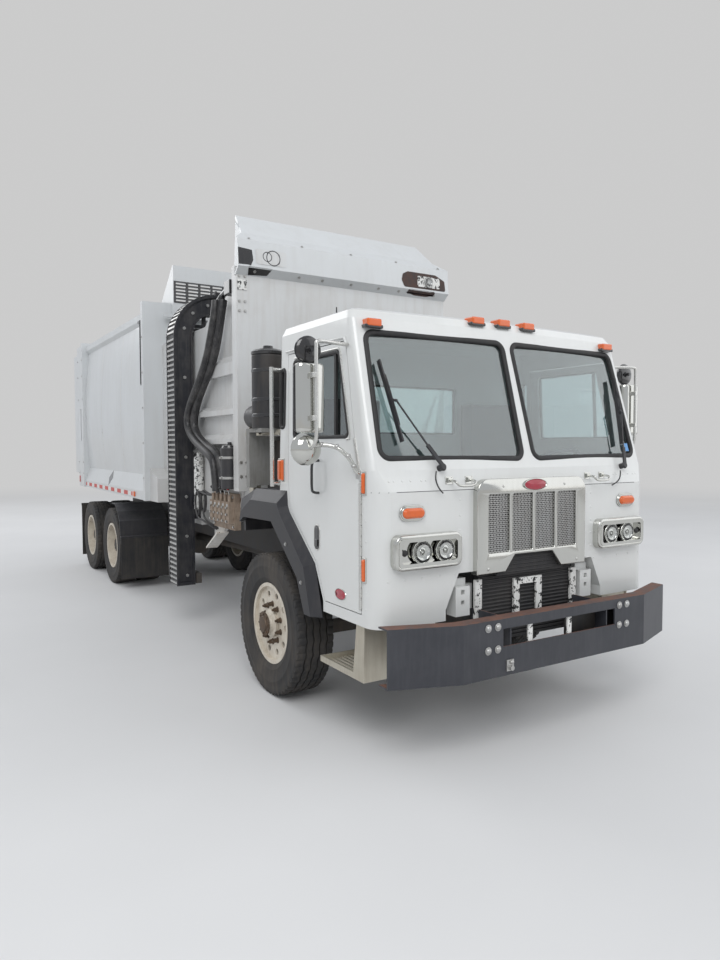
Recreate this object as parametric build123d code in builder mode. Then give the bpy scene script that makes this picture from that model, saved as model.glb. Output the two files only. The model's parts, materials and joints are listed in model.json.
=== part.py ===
from build123d import *
import os
from math import cos, pi, radians, sin, sqrt

os.makedirs("parts", exist_ok=True)

# Side-loading garbage truck. X runs to the truck's left, Y to its rear, Z up.
# The ground is at Z = 0 and the origin is under the middle of the truck.
# The kerb side, with the lifting arm, is the negative X side.

# Stations along the truck
BUMPER_FACE = -4620.0
CAB_FACE = BUMPER_FACE + 286.0
CAB_LENGTH = 1314.0
CAB_REAR = CAB_FACE + CAB_LENGTH
FRONT_AXLE_Y = BUMPER_FACE + 1775.0
WHEELBASE = 5840.0
TANDEM_SPACING = 1350.0
REAR_AXLES_Y = (
    FRONT_AXLE_Y + WHEELBASE - TANDEM_SPACING / 2,
    FRONT_AXLE_Y + WHEELBASE + TANDEM_SPACING / 2,
)
HOPPER_FRONT = BUMPER_FACE + 2590.0
HOPPER_LENGTH = 2500.0
BODY_FRONT = HOPPER_FRONT + HOPPER_LENGTH
BODY_LENGTH = 3890.0
BODY_REAR = BODY_FRONT + BODY_LENGTH
GAP = 6.0                       # clearance between pieces that move
SEAT_GAP = 0.3                  # clearance between pieces that fit together

# Frame rails
RAIL_HALF = 432.0
RAIL_TOP = 1050.0
RAIL_HEIGHT = 270.0
RAIL_FLANGE = 80.0
RAIL_WALL = 9.0
RAIL_LOW = RAIL_TOP - RAIL_HEIGHT
RAIL_INNER = RAIL_HALF - RAIL_WALL
RAIL_FRONT = BUMPER_FACE + 360.0
TILT_Y = BUMPER_FACE + 8750.0   # hinge that the body tips about
TILT_Z = 1115.0
TILT_PIN = 30.0
TILT_EAR = 28.0
RAIL_REAR = TILT_Y + 60.0

# Wheels: a table for the steered pair and one for the twin wheels
FRONT_TYRE_RADIUS = 530.0
FRONT_TYRE_WIDTH = 305.0
FRONT_TRACK_HALF = 1075.0
REAR_TYRE_RADIUS = 512.0
REAR_TYRE_WIDTH = 278.0
REAR_TRACK_HALF = 905.0         # middle of the twin wheels
DUAL_SPACING = 330.0
RIM_SEAT = 285.0
RIM_FLANGE = 303.0
RIM_HALF = 118.0
RIM_WALL = 9.0
DISC_WALL = 14.0
KINGPIN_X = 915.0
KINGPIN_RADIUS = 32.0
SPINDLE_RADIUS = 34.0
HUB_RADIUS = 105.0
BEARING_GAP = 0.3

# Cab
CAB_HALF = 1205.0
CAB_BOTTOM = 791.0
CAB_BELT_LOW = 1590.0
CAB_BELT_HIGH = 1715.0
CAB_TOP = 2710.0
CAB_TOP_HALF = 1180.0
CAB_RAKE = 285.0                # how far the roof stands behind the belt
CAB_BOW = 58.0                  # how far a screen's end stands behind the middle
CAB_WALL = 42.0
CAB_CORNER = 115.0
CAB_PILLAR_CORNER = 48.0
CAB_REAR_CORNER = 60.0
ROOF_STEPS = ((75.0, 0.0), (22.0, 22.0), (0.0, 75.0))  # drop from the top, drawn in by
CAB_BELT_BOW = 8.0
MIN_CORNER = 5.0
DOOR_GAP = 6.0
GLASS = 6.0
GLASS_INSET = 14.0

# Bumper
BUMPER_HALF = 1220.0
BUMPER_KINK = 800.0
BUMPER_SWEEP = 150.0
BUMPER_LOW = 494.0
BUMPER_HIGH = 837.0
BUMPER_DEPTH = 95.0
BUMPER_PLATE = 10.0

# Tipping body
BODY_HALF = 1221.0
BODY_FLOOR = 1237.0
BODY_TOP = 3417.0
BODY_WALL = 36.0
HOPPER_HALF = 1000.0
HOPPER_TOP = 3300.0

# Lifting arm
MAST_OUTER = 1225.0
MAST_BAND = 190.0
MAST_FRONT = BUMPER_FACE + 3930.0
MAST_WIDTH = 250.0
MAST_BOTTOM = 450.0
ARCH_RADIUS = 450.0
ARCH_Z = 2950.0
ARCH_X = -(MAST_OUTER - ARCH_RADIUS)

LEFT_RIGHT = (("left", 1.0), ("right", -1.0))


def at(table):
    """Profile points from (distance behind the bumper's face, height)."""
    return tuple((BUMPER_FACE + station, z) for station, z in table)


def level(z):
    """Level plane: local x is X, local y is Y."""
    return Plane.XY.offset(z)


def across(y):
    """Upright plane across the truck: local x is X, local y is Z, normal forward."""
    return Plane(origin=(0, y, 0), x_dir=(1, 0, 0), z_dir=(0, -1, 0))


def along(x):
    """Upright plane along the truck: local x is Y, local y is Z, normal to the left."""
    return Plane(origin=(x, 0, 0), x_dir=(0, 1, 0), z_dir=(1, 0, 0))


def write(piece, name):
    """Names a finished piece and writes it."""
    piece.part.label = name
    export_step(piece.part, f"parts/{name}.step")


def block(x, y, z, mode=Mode.ADD):
    """Box from its ranges along X, Y and Z."""
    centre = ((x[0] + x[1]) / 2, (y[0] + y[1]) / 2, (z[0] + z[1]) / 2)
    with Locations(centre):
        Box(abs(x[1] - x[0]), abs(y[1] - y[0]), abs(z[1] - z[0]), mode=mode)


def slab(plane, points, amount, mode=Mode.ADD, rounding=0.0):
    """Polygon on a plane, extruded along the plane's normal."""
    with BuildSketch(plane) as outline:
        with BuildLine():
            Polyline(*points, close=True)
        make_face()
        if rounding:
            fillet(outline.vertices(), radius=rounding)
    extrude(outline.sketch, amount=amount, mode=mode)


def rod(start, end, radius, mode=Mode.ADD):
    """Round bar between two points."""
    run = Vector(*end) - Vector(*start)
    with BuildSketch(Plane(origin=start, z_dir=run.normalized())) as section:
        Circle(radius)
    extrude(section.sketch, amount=run.length, mode=mode)


def turned(centre, profile, mode=Mode.ADD):
    """Profile of (distance along X, radius) turned about an axle through centre."""
    with BuildSketch(Plane(origin=centre, x_dir=(1, 0, 0), z_dir=(0, -1, 0))) as section:
        with BuildLine():
            Polyline(*profile, close=True)
        make_face()
    revolve(section.sketch, axis=Axis(centre, (1, 0, 0)), mode=mode)


# Chassis frame
CROSSMEMBERS_Y = tuple(BUMPER_FACE + station for station in (520.0, 2700.0, 4300.0, 5000.0, 7615.0))
CROSSMEMBER_INSET = 40.0
HOIST_BASE_Y = BUMPER_FACE + 5200.0
HOIST_BASE_Z = 830.0
HOIST_PIN = 25.0
POST_X = (500.0, 612.0)         # cab supports beside the cooler
POST_Z = (800.0, 1030.0)
POST_Y = (BUMPER_FACE + 300.0, BUMPER_FACE + 390.0)
POST_STEP = 45.0
POST_SLOTS_Z = (870.0, 935.0)
POST_SLOT = 28.0
TILT_EAR_FOOT = 120.0
TILT_EAR_REACH = 60.0
TILT_EAR_HEAD = (30.0, 45.0)


def frame_rails():
    with BuildPart() as rails:
        for _, hand in LEFT_RIGHT:
            run = (RAIL_FRONT, RAIL_REAR)
            block((hand * RAIL_INNER, hand * RAIL_HALF), run, (RAIL_LOW, RAIL_TOP))
            flange = (hand * (RAIL_HALF - RAIL_FLANGE), hand * RAIL_INNER)
            for z in (RAIL_LOW, RAIL_TOP - RAIL_WALL):
                block(flange, run, (z, z + RAIL_WALL))
        inset = (RAIL_LOW + CROSSMEMBER_INSET, RAIL_TOP - CROSSMEMBER_INSET)
        for y in CROSSMEMBERS_Y:
            block((-RAIL_INNER, RAIL_INNER), (y, y + RAIL_WALL), inset)
        # ears and tube that the body tips about
        half, rise = TILT_EAR_HEAD
        ear = (
            (TILT_Y - TILT_EAR_FOOT, RAIL_LOW), (TILT_Y + TILT_EAR_REACH, RAIL_LOW),
            (TILT_Y + TILT_EAR_REACH, TILT_Z),
            (TILT_Y + half, TILT_Z + rise), (TILT_Y - half, TILT_Z + rise),
            (TILT_Y - TILT_EAR_FOOT, RAIL_TOP),
        )
        for _, hand in LEFT_RIGHT:
            slab(along(hand * RAIL_HALF), ear, -hand * TILT_EAR)
        rod((-RAIL_HALF, TILT_Y, TILT_Z), (RAIL_HALF, TILT_Y, TILT_Z), TILT_PIN)
        # seat of the tipping cylinders, a tube between the rails
        rod((-RAIL_INNER, HOIST_BASE_Y, HOIST_BASE_Z), (RAIL_INNER, HOIST_BASE_Y, HOIST_BASE_Z), HOIST_PIN)
    write(rails, "frame_rails")


def cab_supports():
    """Stepped posts that the cab's front stands on, carried by the rails."""
    step = POST_Z[1] - POST_STEP
    with BuildPart() as posts:
        for _, hand in LEFT_RIGHT:
            x = (hand * POST_X[0], hand * POST_X[1])
            block(x, POST_Y, (POST_Z[0], step))
            block(x, (POST_Y[0] + POST_STEP, POST_Y[1]), (step, POST_Z[1]))
            middle = hand * sum(POST_X) / 2
            for low in POST_SLOTS_Z:
                block((middle - POST_SLOT / 2, middle + POST_SLOT / 2), (POST_Y[0], POST_Y[0] + POST_SLOT),
                      (low, low + POST_SLOT), mode=Mode.SUBTRACT)
            block((hand * RAIL_HALF, hand * POST_X[0]), (RAIL_FRONT, POST_Y[1]), (RAIL_LOW + POST_STEP, step))
    write(posts, "cab_supports")


# Front bumper: a swept channel with a slot for the cooler
SLOT_HALF = 497.0
SLOT_LOW = 670.0
SLOT_HIGH = 777.0


def front_bumper():
    face = (
        (-BUMPER_HALF, BUMPER_FACE + BUMPER_SWEEP),
        (-BUMPER_KINK, BUMPER_FACE),
        (BUMPER_KINK, BUMPER_FACE),
        (BUMPER_HALF, BUMPER_FACE + BUMPER_SWEEP),
    )
    back = tuple((x, y + BUMPER_DEPTH) for x, y in reversed(face))
    inside = tuple((x, y + BUMPER_PLATE) for x, y in face)
    behind = tuple((x, y + BUMPER_DEPTH) for x, y in back)
    with BuildPart() as bumper:
        slab(level(BUMPER_LOW), face + back, BUMPER_HIGH - BUMPER_LOW)
        slab(level(BUMPER_LOW + BUMPER_PLATE), inside + behind,
             BUMPER_HIGH - BUMPER_LOW - 2 * BUMPER_PLATE, mode=Mode.SUBTRACT)
        block((-SLOT_HALF, SLOT_HALF), (BUMPER_FACE - BUMPER_DEPTH, BUMPER_FACE + BUMPER_DEPTH),
              (SLOT_LOW, SLOT_HIGH), mode=Mode.SUBTRACT)
        # brackets back to the rails
        for _, hand in LEFT_RIGHT:
            block((hand * RAIL_INNER, hand * RAIL_HALF),
                  (BUMPER_FACE + BUMPER_PLATE, RAIL_FRONT),
                  (BUMPER_LOW + BUMPER_PLATE, BUMPER_HIGH - BUMPER_PLATE))
    write(bumper, "front_bumper")


# Cab form: outlines at several heights joined by straight lofts
WHEEL_CUT = at((
    (915.0, 731.0),
    (915.0, 859.0),
    (1020.0, 1075.0),
    (1400.0, 1390.0),
    (1700.0, 1390.0),
    (1700.0, 731.0),
))
TUNNEL = (
    (-700.0, 731.0),
    (-700.0, 859.0),
    (-600.0, 1075.0),
    (600.0, 1075.0),
    (700.0, 859.0),
    (700.0, 731.0),
)


def cab_outline(z, half, front, bow, corner, inset, draw_in=0.0):
    """Plan of the cab at one height: a bowed front and rounded corners."""
    half = half - inset
    rear = CAB_REAR - inset - draw_in
    with BuildSketch(level(z)) as plan:
        with BuildLine():
            ThreePointArc((-half, front + bow), (0, front), (half, front + bow))
            Polyline((half, front + bow), (half, rear), (-half, rear), (-half, front + bow))
        make_face()
        fillet(plan.vertices().sort_by(Axis.Y)[:2], radius=corner)
        fillet(plan.vertices().sort_by(Axis.Y)[-2:], radius=max(CAB_REAR_CORNER - inset, MIN_CORNER))
    return plan.sketch


def channel(plane, points, inset, amount):
    """Cut along the cab's underside, widened by inset."""
    with BuildSketch(plane) as outline:
        with BuildLine():
            Polyline(*points, close=True)
        make_face()
        if inset:
            offset(amount=inset, kind=Kind.INTERSECTION)
    extrude(outline.sketch, amount=amount, mode=Mode.SUBTRACT)


def cab_form(inset=0.0):
    """Solid of the cab, drawn in by inset all round."""
    slope = CAB_RAKE / (CAB_TOP - CAB_BELT_HIGH)
    front = CAB_FACE + inset
    pillar = max(CAB_PILLAR_CORNER - inset, MIN_CORNER)
    corner = CAB_CORNER - inset
    lower = cab_outline(CAB_BOTTOM + inset, CAB_HALF, front, CAB_BELT_BOW, corner, inset)
    belt = cab_outline(CAB_BELT_LOW, CAB_HALF, front, CAB_BELT_BOW, corner, inset)
    upper = cab_outline(CAB_BELT_HIGH, CAB_HALF, front, CAB_BOW, pillar, inset)
    sections = [upper]
    for drop, draw_in in ROOF_STEPS:
        z = CAB_TOP - inset - drop
        half = CAB_TOP_HALF - draw_in
        face = front + slope * (z - CAB_BELT_HIGH) + draw_in
        sections.append(cab_outline(z, half, face, CAB_BOW, pillar, inset, draw_in))
    with BuildPart() as form:
        loft(sections=[lower, belt], ruled=True)
        loft(sections=[belt, upper], ruled=True)
        for low, high in zip(sections, sections[1:]):
            loft(sections=[low, high], ruled=True)
        channel(along(-CAB_HALF - CAB_WALL), WHEEL_CUT, inset, 2 * (CAB_HALF + CAB_WALL))
        channel(across(CAB_REAR + CAB_WALL), TUNNEL, inset, CAB_LENGTH + 2 * CAB_WALL)
    return form.part


# Window outlines in (X, Z) and (Y, Z)
SCREEN = ((50.0, 1775.0), (1128.0, 1785.0), (1100.0, 2548.0), (38.0, 2548.0))
SCREEN_ROUND = 60.0
SCREEN_BAND = 200.0             # how far the screen cuts reach beyond the cab's front
DOOR = at((
    (444.0, 859.0),
    (444.0, 1640.0),
    (530.0, 1911.0),
    (655.0, 2500.0),
    (1447.0, 2500.0),
    (1413.0, 1600.0),
    (1405.0, 1440.0),
    (1375.0, 1400.0),
    (1000.0, 1088.0),
    (895.0, 859.0),
))
DOOR_CORNER = 18.0
DOOR_WINDOW = at(((600.0, 1915.0), (735.0, 2440.0), (1352.0, 2440.0), (1335.0, 1915.0)))
QUARTER_WINDOW = at(((1482.0, 1990.0), (1482.0, 2406.0), (1555.0, 2390.0), (1555.0, 1990.0)))
BACK_WINDOW_HALF = 420.0
BACK_WINDOW = (1950.0, 2330.0)
WINDOW_ROUND = 30.0
SIDE_BAND = 260.0               # depth of the side cuts, in from the cab's side


def face_of(plane, points, inset, rounding):
    """Polygon face with rounded corners, drawn in by inset."""
    with BuildSketch(plane) as outline:
        with BuildLine():
            Polyline(*points, close=True)
        make_face()
        if rounding:
            fillet(outline.vertices(), radius=rounding)
        if inset:
            offset(amount=-inset)
    return outline.sketch


def screen_cut(hand, inset=0.0):
    """Prism through the cab's front for one windscreen."""
    points = tuple((hand * x, z) for x, z in SCREEN)
    face = face_of(across(CAB_FACE - SCREEN_BAND), points, inset, SCREEN_ROUND)
    with BuildPart() as cut:
        extrude(face, amount=-(CAB_RAKE + 2 * SCREEN_BAND))
    return cut.part


def side_cut(points, hand, inset=0.0, rounding=WINDOW_ROUND):
    """Prism through one side of the cab."""
    face = face_of(along(hand * (CAB_HALF + SIDE_BAND / 2)), points, inset, rounding)
    with BuildPart() as cut:
        extrude(face, amount=-hand * SIDE_BAND)
    return cut.part


OUTER_FORM = cab_form()
INNER_FORM = cab_form(CAB_WALL)
GLASS_OUTER = cab_form(GLASS_INSET)
GLASS_INNER = cab_form(GLASS_INSET + GLASS)


def back_window(inset=0.0):
    low, high = BACK_WINDOW
    half = BACK_WINDOW_HALF
    points = ((-half, low), (half, low), (half, high), (-half, high))
    face = face_of(across(CAB_REAR + CAB_WALL / 2), points, inset, WINDOW_ROUND)
    with BuildPart() as cut:
        extrude(face, amount=CAB_WALL * 2)
    return cut.part


def cab_shell():
    with BuildPart() as shell:
        add(OUTER_FORM)
        add(INNER_FORM, mode=Mode.SUBTRACT)
        for _, hand in LEFT_RIGHT:
            add(screen_cut(hand), mode=Mode.SUBTRACT)
            add(side_cut(DOOR, hand, rounding=DOOR_CORNER - DOOR_GAP), mode=Mode.SUBTRACT)
            add(side_cut(QUARTER_WINDOW, hand), mode=Mode.SUBTRACT)
        add(back_window(), mode=Mode.SUBTRACT)
    write(shell, "cab_shell")


def glass_layer(cut):
    """Glass that follows the cab's surface inside one opening."""
    with BuildPart() as pane:
        add(GLASS_OUTER)
        add(GLASS_INNER, mode=Mode.SUBTRACT)
        add(cut, mode=Mode.INTERSECT)
    return pane.part


def cab_glass():
    with BuildPart() as panes:
        for _, hand in LEFT_RIGHT:
            add(glass_layer(screen_cut(hand, SEAT_GAP)))
            add(glass_layer(side_cut(QUARTER_WINDOW, hand, SEAT_GAP)))
        add(glass_layer(back_window(SEAT_GAP)))
    write(panes, "cab_glass")


def doors():
    for name, hand in LEFT_RIGHT:
        with BuildPart() as door:
            add(OUTER_FORM)
            add(INNER_FORM, mode=Mode.SUBTRACT)
            add(side_cut(DOOR, hand, DOOR_GAP, DOOR_CORNER), mode=Mode.INTERSECT)
            # the lining of the wheel cut stays with the shell
            block((hand * (CAB_HALF - SIDE_BAND), hand * (CAB_HALF - CAB_WALL)), (CAB_FACE, CAB_REAR),
                  (CAB_BOTTOM, CAB_BELT_HIGH), mode=Mode.SUBTRACT)
            add(side_cut(DOOR_WINDOW, hand), mode=Mode.SUBTRACT)
        write(door, f"door_{name}")
        with BuildPart() as pane:
            add(glass_layer(side_cut(DOOR_WINDOW, hand, SEAT_GAP)))
        write(pane, f"door_glass_{name}")


# Grille, cooler, lamps
GRILLE_HALF = 486.0
GRILLE_LOW = 1055.0
GRILLE_HIGH = 1650.0
GRILLE_DEPTH = 42.0
GRILLE_CORNER = 45.0
GRILLE_CHAMFER = 14.0
GRILLE_CUT_HALF = 250.0
GRILLE_CUT_SLOPE = 80.0
GRILLE_CUT_RISE = 110.0
PANEL_COUNT = 4
PANEL_WIDTH = 176.0
PANEL_PITCH = 200.0
PANEL_LOW = 1195.0
PANEL_HIGH = 1530.0
PANEL_BACK = 8.0                # thickness left behind the panels
PANEL_SLATS = 13
SLAT = 7.0
SLAT_REACH = 24.0
COOLER_Y = BUMPER_FACE + 235.0
COOLER_HALF = 405.0
COOLER_LOW = 600.0
COOLER_HIGH = 1035.0
COOLER_DEPTH = 110.0
COOLER_FINS = 16
FIN_DEPTH = 12.0
FIN_SHARE = 0.55
COOLER_BEARER_Y = (COOLER_Y + 40.0, COOLER_Y + 70.0)
COOLER_BEARER_Z = (700.0, 740.0)
FRAME_HALF = 125.0              # painted square frame on the cooler
FRAME_BAR = 40.0
FRAME_Z = (770.0, 996.0)
FRAME_REACH = 22.0
STRIP_X = (395.0, 470.0)
STRIP_Z = (835.0, 1030.0)
LAMP_SETBACK = 10.0             # how far lamps reach into the cab's face before they are cut
HEADLAMP_X = (634.0, 1084.0)
HEADLAMP_Z = (1154.0, 1320.0)
HEADLAMP_DEPTH = 55.0
HEADLAMP_CORNER = 30.0
HEADLAMP_RIM = 20.0
HEADLAMP_POCKET = 34.0
LENS_RADIUS = 58.0
LENS_DEPTH = 16.0
LENSES_X = (746.0, 916.0)
SIGNAL_X = 953.0
SIGNAL_Z = 1464.0
SIGNAL_SIZE = (155.0, 62.0)
SIGNAL_DEPTH = 25.0
ROOF_LAMPS_X = (-1050.0, -230.0, 0.0, 230.0, 1050.0)
ROOF_LAMP_HALF = 55.0
ROOF_LAMP_Y = (BUMPER_FACE + 535.0, BUMPER_FACE + 650.0)
ROOF_LAMP_Z = (2630.0, 2705.0)
SIDE_LAMPS = (                  # (stations, heights)
    ((1475.0, 1562.0), (1610.0, 1765.0)),
    ((400.0, 438.0), (1575.0, 1705.0)),
    ((400.0, 438.0), (1060.0, 1200.0)),
)
SIDE_LAMP_DEPTH = 26.0


def front_grille():
    low, high = GRILLE_LOW, GRILLE_HIGH
    cut = GRILLE_CUT_HALF - GRILLE_CUT_SLOPE
    raised = low + GRILLE_CUT_RISE
    outline = (
        (-GRILLE_HALF, low), (-GRILLE_CUT_HALF, low), (-cut, raised), (cut, raised),
        (GRILLE_CUT_HALF, low), (GRILLE_HALF, low), (GRILLE_HALF, high), (-GRILLE_HALF, high),
    )
    with BuildPart() as grille:
        slab(across(CAB_FACE), outline, GRILLE_DEPTH, rounding=GRILLE_CORNER)
        front = grille.faces().sort_by(Axis.Y)[0]
        chamfer(front.outer_wire().edges(), length=GRILLE_CHAMFER)
        for index in range(PANEL_COUNT):
            x = (index - (PANEL_COUNT - 1) / 2) * PANEL_PITCH
            width = (x - PANEL_WIDTH / 2, x + PANEL_WIDTH / 2)
            block(width, (CAB_FACE - GRILLE_DEPTH, CAB_FACE - PANEL_BACK), (PANEL_LOW, PANEL_HIGH),
                  mode=Mode.SUBTRACT)
            # slats across the panel
            pitch = (PANEL_HIGH - PANEL_LOW) / PANEL_SLATS
            for row in range(PANEL_SLATS):
                z = PANEL_LOW + (row + 0.5) * pitch
                block(width, (CAB_FACE - SLAT_REACH, CAB_FACE - PANEL_BACK), (z - SLAT / 2, z + SLAT / 2))
    write(grille, "front_grille")


def radiator():
    with BuildPart() as core:
        block((-COOLER_HALF, COOLER_HALF), (COOLER_Y, COOLER_Y + COOLER_DEPTH), (COOLER_LOW, COOLER_HIGH))
        pitch = (COOLER_HIGH - COOLER_LOW) / COOLER_FINS
        for row in range(COOLER_FINS):
            z = COOLER_LOW + (row + 0.5) * pitch
            groove = pitch * FIN_SHARE / 2
            block((-COOLER_HALF, COOLER_HALF), (COOLER_Y, COOLER_Y + FIN_DEPTH), (z - groove, z + groove),
                  mode=Mode.SUBTRACT)
        # bearer across the rails
        block((-RAIL_INNER, RAIL_INNER), COOLER_BEARER_Y, COOLER_BEARER_Z)
    write(core, "radiator")


def radiator_frame():
    """Painted bars on the cooler's face."""
    face = (COOLER_Y - FRAME_REACH, COOLER_Y)
    with BuildPart() as bars:
        block((-FRAME_HALF, FRAME_HALF), face, FRAME_Z)
        inside = FRAME_HALF - FRAME_BAR
        block((-inside, inside), face, (FRAME_Z[0], FRAME_Z[1] - FRAME_BAR), mode=Mode.SUBTRACT)
        for _, hand in LEFT_RIGHT:
            block((hand * STRIP_X[0], hand * STRIP_X[1]), face, STRIP_Z)
    write(bars, "radiator_frame")


def headlamps():
    with BuildPart() as lamps:
        for _, hand in LEFT_RIGHT:
            low, high = HEADLAMP_Z
            near, far = hand * HEADLAMP_X[0], hand * HEADLAMP_X[1]
            rim = HEADLAMP_RIM
            slab(across(CAB_FACE + LAMP_SETBACK), ((near, low), (far, low), (far, high), (near, high)),
                 HEADLAMP_DEPTH + LAMP_SETBACK, rounding=HEADLAMP_CORNER)
            pocket = (
                (near + hand * rim, low + rim), (far - hand * rim, low + rim),
                (far - hand * rim, high - rim), (near + hand * rim, high - rim),
            )
            slab(across(CAB_FACE - HEADLAMP_DEPTH), pocket, -HEADLAMP_POCKET, mode=Mode.SUBTRACT,
                 rounding=HEADLAMP_CORNER - rim / 2)
            back = CAB_FACE - HEADLAMP_DEPTH + HEADLAMP_POCKET
            for x in LENSES_X:
                rod((hand * x, back, (low + high) / 2), (hand * x, back - LENS_DEPTH, (low + high) / 2),
                    LENS_RADIUS)
        add(OUTER_FORM, mode=Mode.SUBTRACT)
    write(lamps, "headlamps")


def marker_lamps():
    with BuildPart() as lamps:
        for _, hand in LEFT_RIGHT:
            with BuildSketch(across(CAB_FACE + LAMP_SETBACK)) as signal:
                with Locations((hand * SIGNAL_X, SIGNAL_Z)):
                    SlotOverall(*SIGNAL_SIZE)
            extrude(signal.sketch, amount=SIGNAL_DEPTH + LAMP_SETBACK)
            for stations, heights in SIDE_LAMPS:
                block((hand * (CAB_HALF - LAMP_SETBACK), hand * (CAB_HALF + SIDE_LAMP_DEPTH)),
                      (BUMPER_FACE + stations[0], BUMPER_FACE + stations[1]), heights)
        for x in ROOF_LAMPS_X:
            block((x - ROOF_LAMP_HALF, x + ROOF_LAMP_HALF), ROOF_LAMP_Y, ROOF_LAMP_Z)
        add(OUTER_FORM, mode=Mode.SUBTRACT)
    write(lamps, "marker_lamps")


# Cab interior
SEAT_X = 700.0
SEAT_HALF = 250.0
CUSHION_Y = (BUMPER_FACE + 960.0, BUMPER_FACE + 1420.0)
CUSHION_Z = (1490.0, 1610.0)
BACKREST_Y = (BUMPER_FACE + 1400.0, BUMPER_FACE + 1530.0)
BACKREST_TOP = 2200.0
SEAT_ROUND = 30.0
PEDESTAL_HALF = 160.0
PEDESTAL_Y = (BUMPER_FACE + 1420.0, BUMPER_FACE + 1520.0)
PEDESTAL_LOW = 1400.0


def seats():
    with BuildPart() as pair:
        for _, hand in LEFT_RIGHT:
            middle = hand * SEAT_X
            side = ((CUSHION_Y[0], CUSHION_Z[0]), (BACKREST_Y[1], CUSHION_Z[0]),
                    (BACKREST_Y[1], BACKREST_TOP),
                    (BACKREST_Y[0], BACKREST_TOP), (BACKREST_Y[0], CUSHION_Z[1]),
                    (CUSHION_Y[0], CUSHION_Z[1]))
            slab(along(middle - SEAT_HALF), side, 2 * SEAT_HALF, rounding=SEAT_ROUND)
            block((middle - PEDESTAL_HALF, middle + PEDESTAL_HALF), PEDESTAL_Y,
                  (PEDESTAL_LOW, CUSHION_Z[0] + SEAT_ROUND))
        add(INNER_FORM, mode=Mode.INTERSECT)
    write(pair, "seats")


WHEEL_TILT = 25.0
STEERING_RADIUS = 215.0
STEERING_RIM = 28.0
STEERING_HUB = 60.0
STEERING_SPOKE = 34.0
STEERING_DEPTH = 26.0
COLUMN_RADIUS = 22.0
STEERING_AT = (SEAT_X, BUMPER_FACE + 760.0, 1730.0)
COLUMN_FOOT = (SEAT_X, BUMPER_FACE + 570.0, 1400.0)
DASH_HALF = 1150.0
DASH = at(((310.0, 1400.0), (560.0, 1400.0), (600.0, 1600.0), (560.0, 1700.0), (310.0, 1740.0)))


def dashboard():
    tilt = radians(WHEEL_TILT)
    face = Plane(origin=STEERING_AT, x_dir=(1, 0, 0), z_dir=(0, sin(tilt), cos(tilt)))
    with BuildPart() as dash:
        slab(along(-DASH_HALF), DASH, 2 * DASH_HALF)
        rod(COLUMN_FOOT, STEERING_AT, COLUMN_RADIUS)
        with BuildSketch(face) as rim:
            Circle(STEERING_RADIUS)
            Circle(STEERING_RADIUS - STEERING_RIM, mode=Mode.SUBTRACT)
            Circle(STEERING_HUB)
            Rectangle(2 * STEERING_RADIUS - STEERING_RIM, STEERING_SPOKE)
        extrude(rim.sketch, amount=STEERING_DEPTH)
        add(INNER_FORM, mode=Mode.INTERSECT)
    write(dash, "dashboard")


# Engine and gearbox as one plain block on two bearers
ENGINE_HALF = 340.0
ENGINE_Y = (BUMPER_FACE + 620.0, BUMPER_FACE + 1560.0)
ENGINE_Z = (610.0, 1030.0)
GEARBOX_HALF = 210.0
GEARBOX_REAR = BUMPER_FACE + 2420.0
GEARBOX_Z = (620.0, 960.0)
BEARER_Y = (BUMPER_FACE + 1000.0, BUMPER_FACE + 1100.0)
BEARER_Z = (850.0, 900.0)


def engine():
    with BuildPart() as power:
        block((-ENGINE_HALF, ENGINE_HALF), ENGINE_Y, ENGINE_Z)
        block((-GEARBOX_HALF, GEARBOX_HALF), (ENGINE_Y[1], GEARBOX_REAR), GEARBOX_Z)
        block((-RAIL_INNER, RAIL_INNER), BEARER_Y, BEARER_Z)
    write(power, "engine")


# Steps under the doors
STEP_Y = (BUMPER_FACE + 450.0, BUMPER_FACE + 985.0)
STEP_X = (915.0, 1190.0)
STEP_Z = 445.0
STEP_PLATE = 12.0
STEP_LIP = 38.0
STEP_SLOTS = 7
STEP_SLOT = 9.0
STEP_BACK = BUMPER_FACE + 900.0
STEP_UPRIGHT = at(((440.0, CAB_BOTTOM), (450.0, STEP_Z), (575.0, STEP_Z), (530.0, CAB_BOTTOM)))
STEP_FRONT_MARGIN = 72.0
STEP_REAR_MARGIN = 24.0


def cab_steps():
    plate = STEP_PLATE
    with BuildPart() as steps:
        for _, hand in LEFT_RIGHT:
            x = (hand * STEP_X[0], hand * STEP_X[1])
            block(x, STEP_Y, (STEP_Z, STEP_Z + STEP_LIP))
            block((hand * (STEP_X[0] + plate), hand * (STEP_X[1] - plate)),
                  (STEP_Y[0] + plate, STEP_Y[1] - plate),
                  (STEP_Z + plate, STEP_Z + STEP_LIP), mode=Mode.SUBTRACT)
            pitch = (STEP_X[1] - STEP_X[0]) / (STEP_SLOTS + 1)
            for index in range(1, STEP_SLOTS + 1):
                middle = hand * (STEP_X[0] + index * pitch)
                block((middle - STEP_SLOT, middle + STEP_SLOT),
                      (STEP_Y[0] + STEP_FRONT_MARGIN, STEP_Y[1] - STEP_REAR_MARGIN),
                      (STEP_Z, STEP_Z + plate), mode=Mode.SUBTRACT)
            # outer upright, front wall and back wall up to the cab
            slab(along(hand * (STEP_X[1] - plate)), STEP_UPRIGHT, hand * plate)
            block(x, (STEP_Y[0], STEP_Y[0] + plate), (STEP_Z, CAB_BOTTOM))
            block((hand * STEP_X[0], hand * (STEP_X[0] + plate)), (STEP_Y[0], STEP_BACK),
                  (STEP_Z, CAB_BOTTOM))
    write(steps, "cab_steps")


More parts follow.
